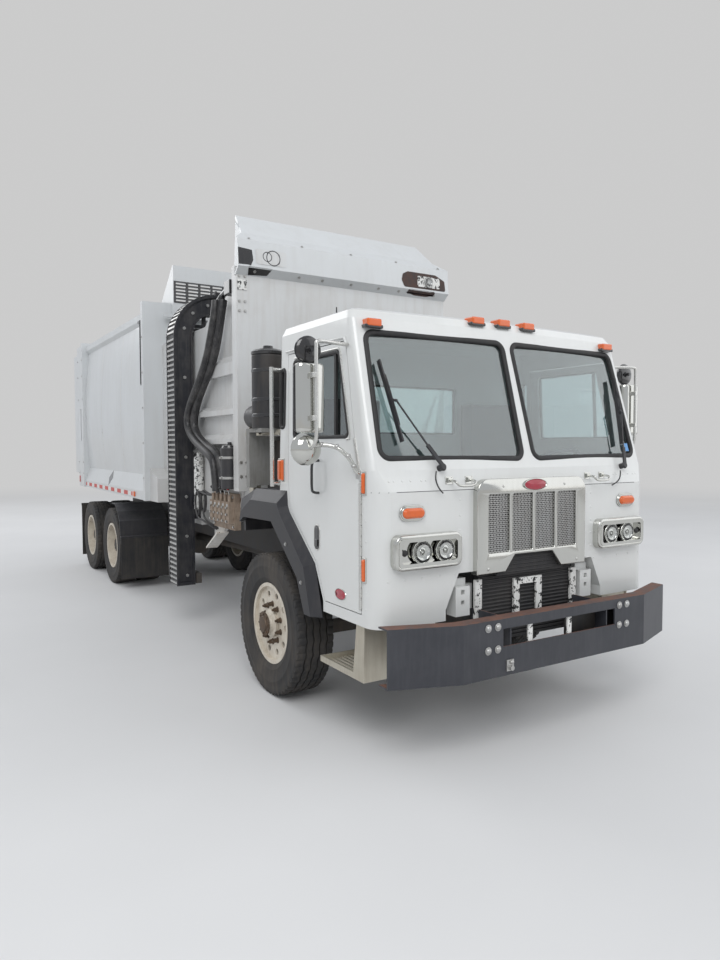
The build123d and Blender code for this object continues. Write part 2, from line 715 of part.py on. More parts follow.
# Fenders over the front wheels and guards ahead of the rear wheels
FENDER_X = (740.0, 1262.0)
FENDER_WALL = 12.0
FENDER_SEAT = at((              # outline against the cab's side
    (925.0, 745.0), (1022.0, 1085.0), (1396.0, 1396.0), (1424.0, 1440.0), (1436.0, 1545.0),
    (1980.0, 1535.0),
    (2265.0, 1440.0),
    (2300.0, 1255.0), (2112.0, 1305.0), (1592.0, 1315.0), (1188.0, 975.0), (1075.0, 745.0),
))
FENDER_EDGE = at((              # outline of the outer face
    (990.0, 745.0), (1090.0, 1060.0), (1440.0, 1380.0), (1472.0, 1420.0), (1492.0, 1454.0),
    (1968.0, 1451.0),
    (2160.0, 1345.0),
    (2185.0, 1262.0), (2105.0, 1308.0), (1592.0, 1318.0), (1188.0, 975.0), (1080.0, 745.0),
))
LINER = at(((1075.0, 745.0), (1188.0, 975.0), (1592.0, 1315.0), (2112.0, 1305.0), (2300.0, 1245.0)))
DECK_X = 980.0
DECK = at(((1606.0, 1528.0), (1980.0, 1523.0), (2262.0, 1430.0), (2265.0, 1440.0), (1980.0, 1535.0),
           (1606.0, 1541.0)))
FENDER_ARM_Y = (BUMPER_FACE + 2190.0, BUMPER_FACE + 2225.0)
FENDER_ARM_Z = (1190.0, 1275.0)
FENDER_ARM_FOOT = 900.0
FENDER_ARM_WIDTH = 30.0
GUARD_X = (600.0, 1215.0)
GUARD = (                       # (distance ahead of the first rear axle, height)
    (150.0, 1105.0), (330.0, 1105.0), (470.0, 1010.0), (560.0, 905.0),
    (575.0, 890.0), (598.0, 700.0), (626.0, 690.0), (630.0, 600.0),
)
GUARD_WALL = 12.0
GUARD_ARM_Y = (430.0, 470.0)
GUARD_ARM_Z = (985.0, 1020.0)
GUARD_ARM_END = 640.0
FLAP = 10.0
FLAP_LOW = 140.0
FLAP_TOP = 960.0
FLAP_SETBACK = 70.0
FLAP_ARM = (30.0, 40.0)


def fenders():
    with BuildPart() as guards:
        liner = LINER + tuple((y, z + FENDER_WALL) for y, z in reversed(LINER))
        first = REAR_AXLES_Y[0]
        guard = tuple((first - ahead, z) for ahead, z in GUARD)
        guard += tuple((y + GUARD_WALL, z - GUARD_WALL) for y, z in reversed(guard))
        for _, hand in LEFT_RIGHT:
            # flare outside the cab, thin liner over the wheel, deck behind the cab
            seat = face_of(along(hand * CAB_HALF), FENDER_SEAT, 0.0, 0.0)
            edge = face_of(along(hand * FENDER_X[1]), FENDER_EDGE, 0.0, 0.0)
            loft(sections=[seat, edge], ruled=True)
            slab(along(hand * FENDER_X[0]), liner, hand * (CAB_HALF - FENDER_X[0]))
            slab(along(hand * DECK_X), DECK, hand * (CAB_HALF - DECK_X))
            block((hand * DECK_X, hand * (DECK_X + FENDER_WALL)),
                  (DECK[0][0], DECK[0][0] + FENDER_ARM_WIDTH),
                  (LINER[2][1], DECK[0][1]))
            # arm from the rail to the liner's rear end
            block((hand * RAIL_HALF, hand * CAB_HALF), FENDER_ARM_Y, FENDER_ARM_Z)
            foot = hand * (RAIL_HALF + FENDER_ARM_WIDTH)
            block((hand * RAIL_HALF, foot), FENDER_ARM_Y, (FENDER_ARM_FOOT, FENDER_ARM_Z[1]))
            # folded guard ahead of the rear wheels, on an arm from the rail
            slab(along(hand * GUARD_X[0]), guard, hand * (GUARD_X[1] - GUARD_X[0]))
            block((hand * RAIL_HALF, hand * GUARD_ARM_END),
                  (first - GUARD_ARM_Y[1], first - GUARD_ARM_Y[0]), GUARD_ARM_Z)
    write(guards, "fenders")


def mud_flaps():
    with BuildPart() as flaps:
        for _, hand in LEFT_RIGHT:
            x = (hand * GUARD_X[0], hand * GUARD_X[1])
            front = REAR_AXLES_Y[0] - GUARD[-1][0]
            block(x, (front - FLAP, front), (FLAP_LOW, GUARD[-1][1] + FLAP_SETBACK))
            rear = REAR_AXLES_Y[1] + REAR_TYRE_RADIUS + FLAP_SETBACK
            block(x, (rear, rear + FLAP), (FLAP_LOW, FLAP_TOP))
            bar = (FLAP_TOP - FLAP_ARM[1], FLAP_TOP)
            block((hand * RAIL_INNER, hand * GUARD_X[1]), (rear + FLAP, rear + FLAP + FLAP_ARM[0]), bar)
            block((hand * RAIL_INNER, hand * RAIL_HALF), (RAIL_REAR, rear + FLAP + FLAP_ARM[0]), bar)
    write(flaps, "mud_flaps")


# Behind the cab
CLEANER_X = -1105.0
CLEANER_Y = BUMPER_FACE + 1960.0
CLEANER_RADIUS = 125.0
CLEANER_Z = (1995.0, 2560.0)
CLEANER_CAP = 40.0
CLEANER_CAP_RADIUS = 75.0
RACK_POST = 60.0
RACK_SHELF = 30.0
RACK_Z = CLEANER_Z[0] - RACK_SHELF
RACK_SPREAD = 110.0
OUTER_POST_Y = BUMPER_FACE + 2080.0
PANEL_Z = (1550.0, 1940.0)


def air_cleaner():
    with BuildPart() as cleaner:
        rod((CLEANER_X, CLEANER_Y, CLEANER_Z[0]), (CLEANER_X, CLEANER_Y, CLEANER_Z[1]), CLEANER_RADIUS)
        fillet(cleaner.edges().group_by(Axis.Z)[-1], radius=CLEANER_CAP / 2)
        rod((CLEANER_X, CLEANER_Y, CLEANER_Z[1] - 1), (CLEANER_X, CLEANER_Y, CLEANER_Z[1] + CLEANER_CAP),
            CLEANER_CAP_RADIUS)
    write(cleaner, "air_cleaner")


def rear_rack():
    """Light frame behind the cab that carries the air cleaner and a cooler panel."""
    inner = -RAIL_HALF
    with BuildPart() as rack:
        block((CLEANER_X - RACK_SPREAD, inner), (CLEANER_Y - RACK_SPREAD, OUTER_POST_Y + RACK_POST),
              (RACK_Z, CLEANER_Z[0]))
        block((inner - RACK_POST, inner), (CLEANER_Y - RACK_POST, CLEANER_Y + RACK_POST),
              (RAIL_TOP, RACK_Z))
        block((CLEANER_X - RACK_SPREAD, CLEANER_X - RACK_SPREAD + RACK_POST),
              (OUTER_POST_Y, OUTER_POST_Y + RACK_POST), (DECK[1][1] + FENDER_WALL, RACK_Z))
        block((CLEANER_X - RACK_SPREAD, inner), (OUTER_POST_Y, OUTER_POST_Y + RACK_SHELF), PANEL_Z)
    write(rack, "rear_rack")


# Fuel tank on the left rail, oil tank over the frame behind the cab
TANK_RADIUS = 290.0
TANK_X = 790.0
TANK_Z = 720.0
TANK_Y = (BUMPER_FACE + 2650.0, BUMPER_FACE + 3750.0)
TANK_STRAP = 60.0
TANK_STRAPS_Y = (TANK_Y[0] + 200.0, TANK_Y[1] - 260.0)
TANK_CRADLE = 20.0
OIL_HALF = 380.0
OIL_Y = (BUMPER_FACE + 1720.0, BUMPER_FACE + 2440.0)
OIL_Z = (1300.0, 1950.0)
OIL_ROUND = 60.0
OIL_FEET_Y = (BUMPER_FACE + 1760.0, BUMPER_FACE + 2360.0)


def tanks():
    with BuildPart() as pair:
        # oil tank first, so that its edges can be rounded alone
        block((-OIL_HALF, OIL_HALF), OIL_Y, OIL_Z)
        fillet(pair.edges().filter_by(Axis.Z), radius=OIL_ROUND)
        for y in OIL_FEET_Y:
            for _, hand in LEFT_RIGHT:
                block((hand * (RAIL_HALF - TANK_STRAP), hand * (RAIL_HALF - 2 * TANK_STRAP)),
                      (y, y + TANK_STRAP),
                      (RAIL_TOP, OIL_Z[0]))
        rod((TANK_X, TANK_Y[0], TANK_Z), (TANK_X, TANK_Y[1], TANK_Z), TANK_RADIUS)
        low = TANK_Z - TANK_RADIUS - TANK_CRADLE
        for y in TANK_STRAPS_Y:
            block((RAIL_HALF, TANK_X), (y, y + TANK_STRAP), (low, low + TANK_STRAP))
            block((RAIL_HALF, RAIL_HALF + 2 * TANK_CRADLE), (y, y + TANK_STRAP),
                  (low, RAIL_TOP - TANK_CRADLE))
    write(pair, "tanks")


# Axles
BEAM_HALF = 45.0
FRONT_HUB_Z = FRONT_TYRE_RADIUS
REAR_HUB_Z = REAR_TYRE_RADIUS
BEAM_DROP = 90.0
BEAM_FLAT = 700.0
BEAM_Z = (FRONT_HUB_Z - BEAM_DROP - 50.0, FRONT_HUB_Z - BEAM_DROP + 40.0)
BEAM_END = 45.0                 # half height of the beam's eye
EYE_LEAD = 65.0
EYE_REACH = 20.0
SPRING_X = 385.0
SPRING_HALF = 42.0
SPRING_SEAT = 640.0
SPRING_EYE = 40.0
SPRING_END_Z = 760.0
SPRING_STACK = 90.0
SPRING_SINK = 12.0
KNUCKLE_EYE = 46.0
KINGPIN_REACH = 60.0


def front_axle():
    z = FRONT_HUB_Z
    y = FRONT_AXLE_Y
    low, high = BEAM_Z
    with BuildPart() as axle:
        block((-BEAM_FLAT, BEAM_FLAT), (y - BEAM_HALF, y + BEAM_HALF), BEAM_Z)
        for _, hand in LEFT_RIGHT:
            rise = (
                (BEAM_FLAT - BEAM_END, low), (BEAM_FLAT - BEAM_END, high),
                (KINGPIN_X - EYE_LEAD, z + BEAM_END), (KINGPIN_X + EYE_REACH, z + BEAM_END),
                (KINGPIN_X + EYE_REACH, z - BEAM_END), (KINGPIN_X - EYE_LEAD, z - BEAM_END),
            )
            slab(across(y + BEAM_HALF), tuple((hand * px, pz) for px, pz in rise), 2 * BEAM_HALF)
            x = hand * KINGPIN_X
            rod((x, y, z - BEAM_END), (x, y, z + BEAM_END), KNUCKLE_EYE)
            rod((x, y, z - KINGPIN_REACH), (x, y, z + KINGPIN_REACH), KINGPIN_RADIUS + BEARING_GAP,
                mode=Mode.SUBTRACT)
            # leaf spring bowed under the rail
            inner = SPRING_SEAT - SPRING_EYE
            with BuildSketch(along(hand * (SPRING_X - SPRING_HALF))) as leaf:
                with BuildLine():
                    ThreePointArc((y - SPRING_SEAT, SPRING_END_Z), (y, high - SPRING_SINK),
                                  (y + SPRING_SEAT, SPRING_END_Z))
                    Polyline((y + SPRING_SEAT, SPRING_END_Z), (y + SPRING_SEAT, RAIL_LOW),
                             (y + inner, RAIL_LOW))
                    ThreePointArc((y + inner, RAIL_LOW), (y, high + SPRING_STACK), (y - inner, RAIL_LOW))
                    Polyline((y - inner, RAIL_LOW), (y - SPRING_SEAT, RAIL_LOW),
                             (y - SPRING_SEAT, SPRING_END_Z))
                make_face()
            extrude(leaf.sketch, amount=hand * 2 * SPRING_HALF)
    write(axle, "front_axle")


SPINDLE_END = 1185.0
YOKE_HALF = 105.0               # half height of the knuckle's fork
YOKE_REACH = 80.0
YOKE_HALF_WIDTH = 40.0
SPINDLE_ROOT = 10.0
ARM_REACH = 200.0
ARM_X = 860.0
ARM_Z = (425.0, 450.0)
ARM_HALF = (30.0, 25.0)


def knuckles():
    y, z = FRONT_AXLE_Y, FRONT_HUB_Z
    width = (y - YOKE_HALF_WIDTH, y + YOKE_HALF_WIDTH)
    for name, hand in LEFT_RIGHT:
        x = hand * KINGPIN_X
        outer = hand * (KINGPIN_X + YOKE_REACH)
        with BuildPart() as knuckle:
            rod((x, y, z - YOKE_HALF), (x, y, z + YOKE_HALF), KINGPIN_RADIUS)
            for low, high in ((z - YOKE_HALF, z - BEAM_END - GAP), (z + BEAM_END + GAP, z + YOKE_HALF)):
                rod((x, y, low), (x, y, high), KNUCKLE_EYE)
                block((x, outer), width, (low, high))
            block((hand * (KINGPIN_X + KNUCKLE_EYE + GAP), outer), width, (z - YOKE_HALF, z + YOKE_HALF))
            rod((outer - hand * SPINDLE_ROOT, y, z), (hand * SPINDLE_END, y, z), SPINDLE_RADIUS)
            # steering arm back to the tie rod
            root, tip = ARM_HALF
            slab(level(ARM_Z[0]),
                 ((x - hand * root, y), (x + hand * root, y),
                  (hand * (ARM_X + tip), y + ARM_REACH + tip), (hand * (ARM_X - tip), y + ARM_REACH + tip)),
                 ARM_Z[1] - ARM_Z[0])
        write(knuckle, f"knuckle_{name}")


TIE_RADIUS = 18.0
TIE_END_RADIUS = 30.0
TIE_DROP = 22.0


def tie_rod():
    y = FRONT_AXLE_Y + ARM_REACH
    top = ARM_Z[0] - GAP
    with BuildPart() as tie:
        rod((-ARM_X, y, top - TIE_DROP), (ARM_X, y, top - TIE_DROP), TIE_RADIUS)
        for _, hand in LEFT_RIGHT:
            rod((hand * ARM_X, y, top - 2 * TIE_DROP), (hand * ARM_X, y, top), TIE_END_RADIUS)
    write(tie, "tie_rod")


HOUSING_RADIUS = 75.0
HOUSING_HALF = 640.0
BOWL_RADIUS = 190.0
BOWL_Y = (-150.0, 110.0)
AXLE_STUB_END = 1110.0
EQUALISER_X = (345.0, 430.0)
EQUALISER_DEPTH = 100.0
EQUALISER_RISE = 90.0
EQUALISER_REACH = 90.0
SADDLE_HALF = 70.0
TRUNNION_HALF = 200.0
SHAFT_RADIUS = 50.0
SHAFT_START = (GEARBOX_REAR + 10.0, 700.0)
SHAFT_END_Z = 560.0


def drive_axles():
    z = REAR_HUB_Z
    first, second = REAR_AXLES_Y
    with BuildPart() as axles:
        # drive shaft from the gearbox and between the axles
        rod((0, *SHAFT_START), (0, first, SHAFT_END_Z), SHAFT_RADIUS)
        block((-GEARBOX_HALF, GEARBOX_HALF), (ENGINE_Y[1], GEARBOX_REAR + GAP), GEARBOX_Z,
              mode=Mode.SUBTRACT)
        rod((0, first, z), (0, second, z), SHAFT_RADIUS)
        for y in REAR_AXLES_Y:
            rod((-HOUSING_HALF, y, z), (HOUSING_HALF, y, z), HOUSING_RADIUS)
            rod((0, y + BOWL_Y[0], z), (0, y + BOWL_Y[1], z), BOWL_RADIUS)
            for _, hand in LEFT_RIGHT:
                rod((hand * (HOUSING_HALF - SPINDLE_ROOT), y, z), (hand * AXLE_STUB_END, y, z),
                    SPINDLE_RADIUS)
                # saddle up to the equaliser beam
                block((hand * EQUALISER_X[0], hand * EQUALISER_X[1]), (y - SADDLE_HALF, y + SADDLE_HALF),
                      (z, z + EQUALISER_RISE))
        middle = (first + second) / 2
        for _, hand in LEFT_RIGHT:
            x = (hand * EQUALISER_X[0], hand * EQUALISER_X[1])
            block(x, (first - EQUALISER_REACH, second + EQUALISER_REACH),
                  (z + EQUALISER_RISE, z + EQUALISER_RISE + EQUALISER_DEPTH))
            block(x, (middle - TRUNNION_HALF, middle + TRUNNION_HALF), (z + EQUALISER_RISE, RAIL_LOW))
    write(axles, "drive_axles")


# Wheels
BEAD_SEAT = 12.0                # width of a rim's flange
SIDEWALL_BULGE = 0.45
SHOULDERS = ((6.0, 60.0), (22.0, 14.0), (55.0, 0.0))   # (in from the side, down from the tread)
GROOVE_HALF = 7.0
GROOVE_DEPTH = 14.0
FRONT_GROOVES_X = (-75.0, -25.0, 25.0, 75.0)
REAR_GROOVES_X = (-50.0, 50.0)
HAND_HOLES = 10
HAND_HOLE = 24.0
HAND_HOLE_CIRCLE = 218.0
HUB_STEPS = ((30.0, 105.0), (45.0, 80.0))
HUB_END_RADIUS = 70.0
HUB_CAP = 14.0


def tyre_profile(radius, width, offset_x, grooves):
    """Section of a tyre as (distance along X, radius)."""
    half = width / 2
    bead = RIM_SEAT + SEAT_GAP
    foot = RIM_HALF - BEAD_SEAT - SEAT_GAP
    right = [(foot, bead), (foot, RIM_FLANGE + 1), (RIM_HALF + GAP, RIM_FLANGE + GAP),
             (half, bead + SIDEWALL_BULGE * (radius - bead))]
    right += [(half - inwards, radius - down) for inwards, down in SHOULDERS]
    tread = []
    for x in grooves:
        tread += [(x - GROOVE_HALF, radius), (x - GROOVE_HALF, radius - GROOVE_DEPTH),
                  (x + GROOVE_HALF, radius - GROOVE_DEPTH), (x + GROOVE_HALF, radius)]
    left = [(-x, r) for x, r in right]
    return tuple((x + offset_x, r) for x, r in left + tread + right[::-1])


def rim(centre, hand, barrels, disc_x, hub_end, hub_start):
    """Rim barrels, disc with hand holes, and hub of one wheel."""
    low, high = disc_x - DISC_WALL / 2, disc_x + DISC_WALL / 2
    floor = RIM_SEAT - RIM_WALL
    bore = SPINDLE_RADIUS + BEARING_GAP
    for offset_x in barrels:
        x0, x1 = offset_x - RIM_HALF, offset_x + RIM_HALF
        turned(centre, (
            (x0, RIM_FLANGE), (x0 + BEAD_SEAT, RIM_FLANGE), (x0 + BEAD_SEAT, RIM_SEAT),
            (x1 - BEAD_SEAT, RIM_SEAT), (x1 - BEAD_SEAT, RIM_FLANGE), (x1, RIM_FLANGE),
            (x1, floor), (x0, floor),
        ))
    turned(centre,
           ((low, HUB_RADIUS - RIM_WALL), (low, floor + 1), (high, floor + 1),
            (high, HUB_RADIUS - RIM_WALL)))
    steps = tuple((disc_x + hand * reach, radius) for reach, radius in HUB_STEPS)
    turned(centre, ((hub_start, bore), (hub_start, HUB_RADIUS)) + steps + (
        (hub_end, HUB_END_RADIUS), (hub_end, 0.0), (hub_end - hand * HUB_CAP, 0.0),
        (hub_end - hand * HUB_CAP, bore)))
    # hand holes round the disc
    face = Plane(origin=(centre[0] + disc_x, centre[1], centre[2]), x_dir=(0, 1, 0), z_dir=(1, 0, 0))
    with BuildSketch(face) as holes:
        with PolarLocations(HAND_HOLE_CIRCLE, HAND_HOLES):
            Circle(HAND_HOLE)
    extrude(holes.sketch, amount=DISC_WALL * 2, both=True, mode=Mode.SUBTRACT)


FRONT_DISC_X = 85.0
FRONT_HUB_X = (-55.0, 160.0)
REAR_HUB_X = (-230.0, 220.0)


def wheels():
    half = DUAL_SPACING / 2
    for name, hand in LEFT_RIGHT:
        centre = (hand * FRONT_TRACK_HALF, FRONT_AXLE_Y, FRONT_HUB_Z)
        with BuildPart() as tyre:
            turned(centre, tyre_profile(FRONT_TYRE_RADIUS, FRONT_TYRE_WIDTH, 0.0, FRONT_GROOVES_X))
        write(tyre, f"tyre_front_{name}")
        with BuildPart() as front_rim:
            rim(centre, hand, (0.0,), hand * FRONT_DISC_X, hand * FRONT_HUB_X[1], hand * FRONT_HUB_X[0])
        write(front_rim, f"rim_front_{name}")
        for number, y in enumerate(REAR_AXLES_Y, start=1):
            centre = (hand * REAR_TRACK_HALF, y, REAR_HUB_Z)
            with BuildPart() as tyres:
                for side in (-half, half):
                    turned(centre, tyre_profile(REAR_TYRE_RADIUS, REAR_TYRE_WIDTH, side, REAR_GROOVES_X))
            write(tyres, f"tyres_rear_{number}_{name}")
            with BuildPart() as rims:
                rim(centre, hand, (-half, half), 0.0, hand * REAR_HUB_X[1], hand * REAR_HUB_X[0])
                # spacer that joins the two barrels
                inner, outer = RIM_HALF - half, half - RIM_HALF
                turned(centre, ((inner, RIM_SEAT), (outer, RIM_SEAT), (outer, RIM_SEAT - RIM_WALL),
                                (inner, RIM_SEAT - RIM_WALL)))
            write(rims, f"rims_rear_{number}_{name}")


# Pins of the cylinders, as (Y, Z), and their middles' X
GATE_BASE = (BODY_REAR - 240.0, 2100.0)
GATE_EYE = (BODY_REAR + 150.0, 3120.0)
GATE_CYLINDER_X = 1150.0
GATE_PIN = 16.0
HOIST_EYE = (BUMPER_FACE + 7200.0, 1130.0)
HOIST_X = 215.0
HOIST_LUGS = (40.0, 60.0)       # a lug's faces, out from the cylinder's middle
HOIST_LUG_Y = 60.0
HOIST_LUG_LOW = 25.0
EYE_WALL = 14.0
EYE_HALF = 24.0
BORE_LEAD = 60.0
ROD_EYE_SHARE = 1.5


def stub_pins(hand, middle, eye, inner, outer):
    """Pins at both sides of a rod's eye, clear of its ends."""
    for low, high in ((inner, middle - EYE_HALF - GAP), (middle + EYE_HALF + GAP, outer)):
        rod((hand * low, *eye), (hand * high, *eye), GATE_PIN)


# Tipping body: hopper
SILL_HALF = 330.0
SILL_WIDTH = 80.0
SILL_LOW = RAIL_TOP + 2.0
HOPPER_POST = (100.0, 110.0)
HOPPER_POST_Z = (1475.0, 3380.0)
LOW_SIDE = at(((2590.0, 1237.0), (5089.7, 1237.0), (5089.7, 3020.0), (3650.0, 3020.0), (3250.0, 3250.0),
               (2590.0, 3380.0)))
HIGH_SIDE_TOP = 3330.0
LEDGES = (                      # (station it ends at, underside, lip, top)
    (3470.0, 2494.0, 2600.0, 2665.0),
    (3700.0, 2141.0, 2190.0, 2235.0),
    (3650.0, 1880.0, 1925.0, 1970.0),
)
LEDGE_REACH = 55.0
CHUTE = at(((2693.0, 1475.0), (3420.0, 1475.0), (3420.0, 900.0), (3399.0, 890.0), (2720.0, 1340.0)))
CHUTE_WALL = 12.0
HOUSING_Z = (RAIL_TOP + 10.0, BODY_FLOOR)
HOUSING_REACH = 20.0
HOUSING_INNER = 600.0
FLARE = at(((4800.0, 1237.0), (5089.7, 1237.0), (5089.7, 1610.0), (4800.0, 1500.0)))
FLARE_REACH = 215.0


def hopper():
    wall = BODY_WALL
    rear = BODY_FRONT - SEAT_GAP
    half = HOPPER_HALF
    high_side = ((HOPPER_FRONT, BODY_FLOOR), (rear, BODY_FLOOR), (rear, HIGH_SIDE_TOP),
                 (HOPPER_FRONT, HIGH_SIDE_TOP))
    with BuildPart() as box:
        slab(along(-half), LOW_SIDE, wall)
        slab(along(half), high_side, -wall)
        block((-half, half), (HOPPER_FRONT, HOPPER_FRONT + wall), (BODY_FLOOR, HOPPER_TOP))
        block((-half, half), (HOPPER_FRONT, rear), (BODY_FLOOR, BODY_FLOOR + wall))
        post_width, post_depth = HOPPER_POST
        start = HOPPER_FRONT + post_depth
        for _, hand in LEFT_RIGHT:
            # corner post, long sill under the floor, ledges along the side
            block((hand * half, hand * (half + post_width)), (HOPPER_FRONT, start), HOPPER_POST_Z)
            block((hand * SILL_HALF, hand * (SILL_HALF + SILL_WIDTH)), (HOPPER_FRONT, rear),
                  (SILL_LOW, BODY_FLOOR))
            for end, low, lip, high in LEDGES:
                section = ((hand * half, low), (hand * (half + LEDGE_REACH), low),
                           (hand * (half + LEDGE_REACH), lip),
                           (hand * half, high))
                slab(across(start), section, start - BUMPER_FACE - end)
        # flare ahead of the load box, on the arm's side
        slab(along(-half), FLARE, -FLARE_REACH + LEDGE_REACH)
        # sloping plate under the valves
        slab(along(-half), CHUTE, -CHUTE_WALL)
        # rebate that the front shield stands in
        block((-half - 2 * post_width, half + 2 * post_width),
              (HOPPER_FRONT - wall, HOPPER_FRONT + wall + GAP),
              (HOPPER_TOP, HOPPER_TOP + 2 * post_width), mode=Mode.SUBTRACT)
        # housing that the arm's tubes slide in
        block((-half + wall, -HOUSING_INNER),
              (MAST_FRONT - HOUSING_REACH, MAST_FRONT + MAST_WIDTH + HOUSING_REACH), HOUSING_Z)
        for y in SLIDE_Y:
            block((-half, SILL_HALF), (y - GAP, y + SLIDE_WIDTH + GAP),
                  (SLIDE_Z[0] - GAP, SLIDE_Z[1] + GAP),
                  mode=Mode.SUBTRACT)
    write(box, "hopper")

# Valves, canister and actuator on the arm's side of the hopper
MANIFOLD_Y = (BUMPER_FACE + 2760.0, BUMPER_FACE + 3260.0)
MANIFOLD_Z = (1120.0, 1440.0)
MANIFOLD_DEPTH = 60.0
VALVE_COUNT = 5
VALVE_SIZE = (48.0, 70.0, 190.0)
VALVE_FOOT = 1180.0
KNOB_RADIUS = 16.0
KNOB_RISE = 60.0
CANISTER_X = -1095.0
CANISTER_Y = BUMPER_FACE + 2800.0
CANISTER_Z = (1487.0, 1847.0)
CANISTER_RADIUS = 78.0
ACTUATOR_X = -1050.0
ACTUATOR_Y = BUMPER_FACE + 3740.0
ACTUATOR_Z = (1240.0, 1760.0)
ACTUATOR_RADIUS = 48.0


def valves():
    side = -HOPPER_HALF - SEAT_GAP - CHUTE_WALL
    with BuildPart() as parts:
        block((side, side - MANIFOLD_DEPTH), MANIFOLD_Y, MANIFOLD_Z)
        depth, width, height = VALVE_SIZE
        pitch = (MANIFOLD_Y[1] - MANIFOLD_Y[0]) / VALVE_COUNT
        face = side - MANIFOLD_DEPTH
        for index in range(VALVE_COUNT):
            y = MANIFOLD_Y[0] + (index + 0.5) * pitch
            block((face, face - depth), (y - width / 2, y + width / 2), (VALVE_FOOT, VALVE_FOOT + height))
            rod((face - depth / 2, y, VALVE_FOOT + height),
                (face - depth / 2, y, VALVE_FOOT + height + KNOB_RISE),
                KNOB_RADIUS)
    write(parts, "valves")


def canister():
    with BuildPart() as can:
        rod((CANISTER_X, CANISTER_Y, CANISTER_Z[0]), (CANISTER_X, CANISTER_Y, CANISTER_Z[1]),
            CANISTER_RADIUS)
        fillet(can.edges(), radius=CHUTE_WALL)
        middle = (CANISTER_Z[0] + CANISTER_Z[1]) / 2
        for z in (middle - CANISTER_RADIUS, middle + CANISTER_RADIUS):
            block((CANISTER_X, -HOPPER_HALF), (CANISTER_Y - CHUTE_WALL, CANISTER_Y + CHUTE_WALL),
                  (z - CHUTE_WALL, z + CHUTE_WALL))
    write(can, "canister")


def actuator():
    """Upright cylinder beside the arm."""
    with BuildPart() as upright:
        rod((ACTUATOR_X, ACTUATOR_Y, ACTUATOR_Z[0]), (ACTUATOR_X, ACTUATOR_Y, ACTUATOR_Z[1]),
            ACTUATOR_RADIUS)
        fillet(upright.edges().group_by(Axis.Z)[-1], radius=ACTUATOR_RADIUS / 2)
        block((ACTUATOR_X, -HOPPER_HALF),
              (ACTUATOR_Y - ACTUATOR_RADIUS / 2, ACTUATOR_Y + ACTUATOR_RADIUS / 2),
              (ACTUATOR_Z[0], ACTUATOR_Z[0] + ACTUATOR_RADIUS))
    write(upright, "actuator")


# Front shield over the cab's roof
SHIELD_HALF = 1110.0
SHIELD_TOP_HALF = 975.0
SHIELD_KNEE_HALF = 1020.0
SHIELD_BAND_TOP = 3600.0
SHIELD_KNEE = 3680.0
SHIELD_OUTER = at(((2590.0, 3300.0), (2520.0, 3360.0), (2535.0, 3585.0), (2665.0, 3675.0),
                   (2895.0, 3888.0)))
SHIELD_INNER = at(((2912.0, 3870.0), (2676.0, 3660.0), (2550.0, 3572.0), (2537.0, 3366.0),
                   (2602.0, 3312.0), (2626.0, 3300.0)))

SHIELD_GUSSET = at(((2530.0, 3390.0), (2542.0, 3568.0), (2670.0, 3667.0), (2820.0, 3803.0),
                    (2860.0, 3390.0)))

def canopy():
    with BuildPart() as shield:
        slab(along(-SHIELD_HALF), SHIELD_OUTER + SHIELD_INNER, 2 * SHIELD_HALF)
        # ends drawn in towards the top
        front, back = SHIELD_OUTER[1][0], SHIELD_INNER[0][0]
        top = SHIELD_OUTER[-1][1] + GAP
        for _, hand in LEFT_RIGHT:
            corner = ((hand * SHIELD_HALF, SHIELD_BAND_TOP), (hand * SHIELD_KNEE_HALF, SHIELD_KNEE),
                      (hand * SHIELD_TOP_HALF, top), (hand * (SHIELD_HALF + GAP), top),
                      (hand * (SHIELD_HALF + GAP), SHIELD_BAND_TOP))
            slab(across(back + GAP), corner, back - front + 2 * GAP, mode=Mode.SUBTRACT)
            # gusset behind the shield, down to the corner post
            slab(along(hand * HOPPER_HALF), SHIELD_GUSSET, hand * CHUTE_WALL)
    write(shield, "canopy")

# Slotted screen between the hopper and the load box
SCREEN_Y = BODY_FRONT - 90.0
SCREEN_WALL = 30.0
SCREEN_HALF = 890.0
SCREEN_Z = (3330.0, 3920.0)
SCREEN_SLOTS = (12, 6)
SCREEN_SLOT_PITCH = (146.0, 38.0)
SCREEN_SLOT = (118.0, 22.0)
SCREEN_SLOT_Z = 3625.0
SCREEN_TIE = 12.0
SCREEN_TAIL = BODY_FRONT + 420.0


def hopper_screen():
    rear = SCREEN_Y + SCREEN_WALL
    low, high = SCREEN_Z
    with BuildPart() as screen:
        block((-SCREEN_HALF, SCREEN_HALF), (SCREEN_Y, rear), SCREEN_Z)
        with BuildSketch(across(rear)) as slots:
            with Locations((0, SCREEN_SLOT_Z)):
                with GridLocations(*SCREEN_SLOT_PITCH, *SCREEN_SLOTS):
                    Rectangle(*SCREEN_SLOT)
        extrude(slots.sketch, amount=SCREEN_WALL, mode=Mode.SUBTRACT)
        foot = FRAME_TOP + GAP
        side = ((rear, low), (rear, high), (SCREEN_TAIL, foot + 2 * SCREEN_TIE), (SCREEN_TAIL, foot),
                (BODY_FRONT - GAP, foot), (BODY_FRONT - GAP, low))
        for _, hand in LEFT_RIGHT:
            slab(along(hand * SCREEN_HALF), side, -hand * SCREEN_TIE)
        # feet down to the hopper's side walls
        for _, hand in LEFT_RIGHT:
            block((hand * (SCREEN_HALF - SCREEN_TIE), hand * (HOPPER_HALF - SEAT_GAP)), (SCREEN_Y, rear),
                  (HIGH_SIDE_TOP + SEAT_GAP, HIGH_SIDE_TOP + SCREEN_WALL))
    write(screen, "hopper_screen")


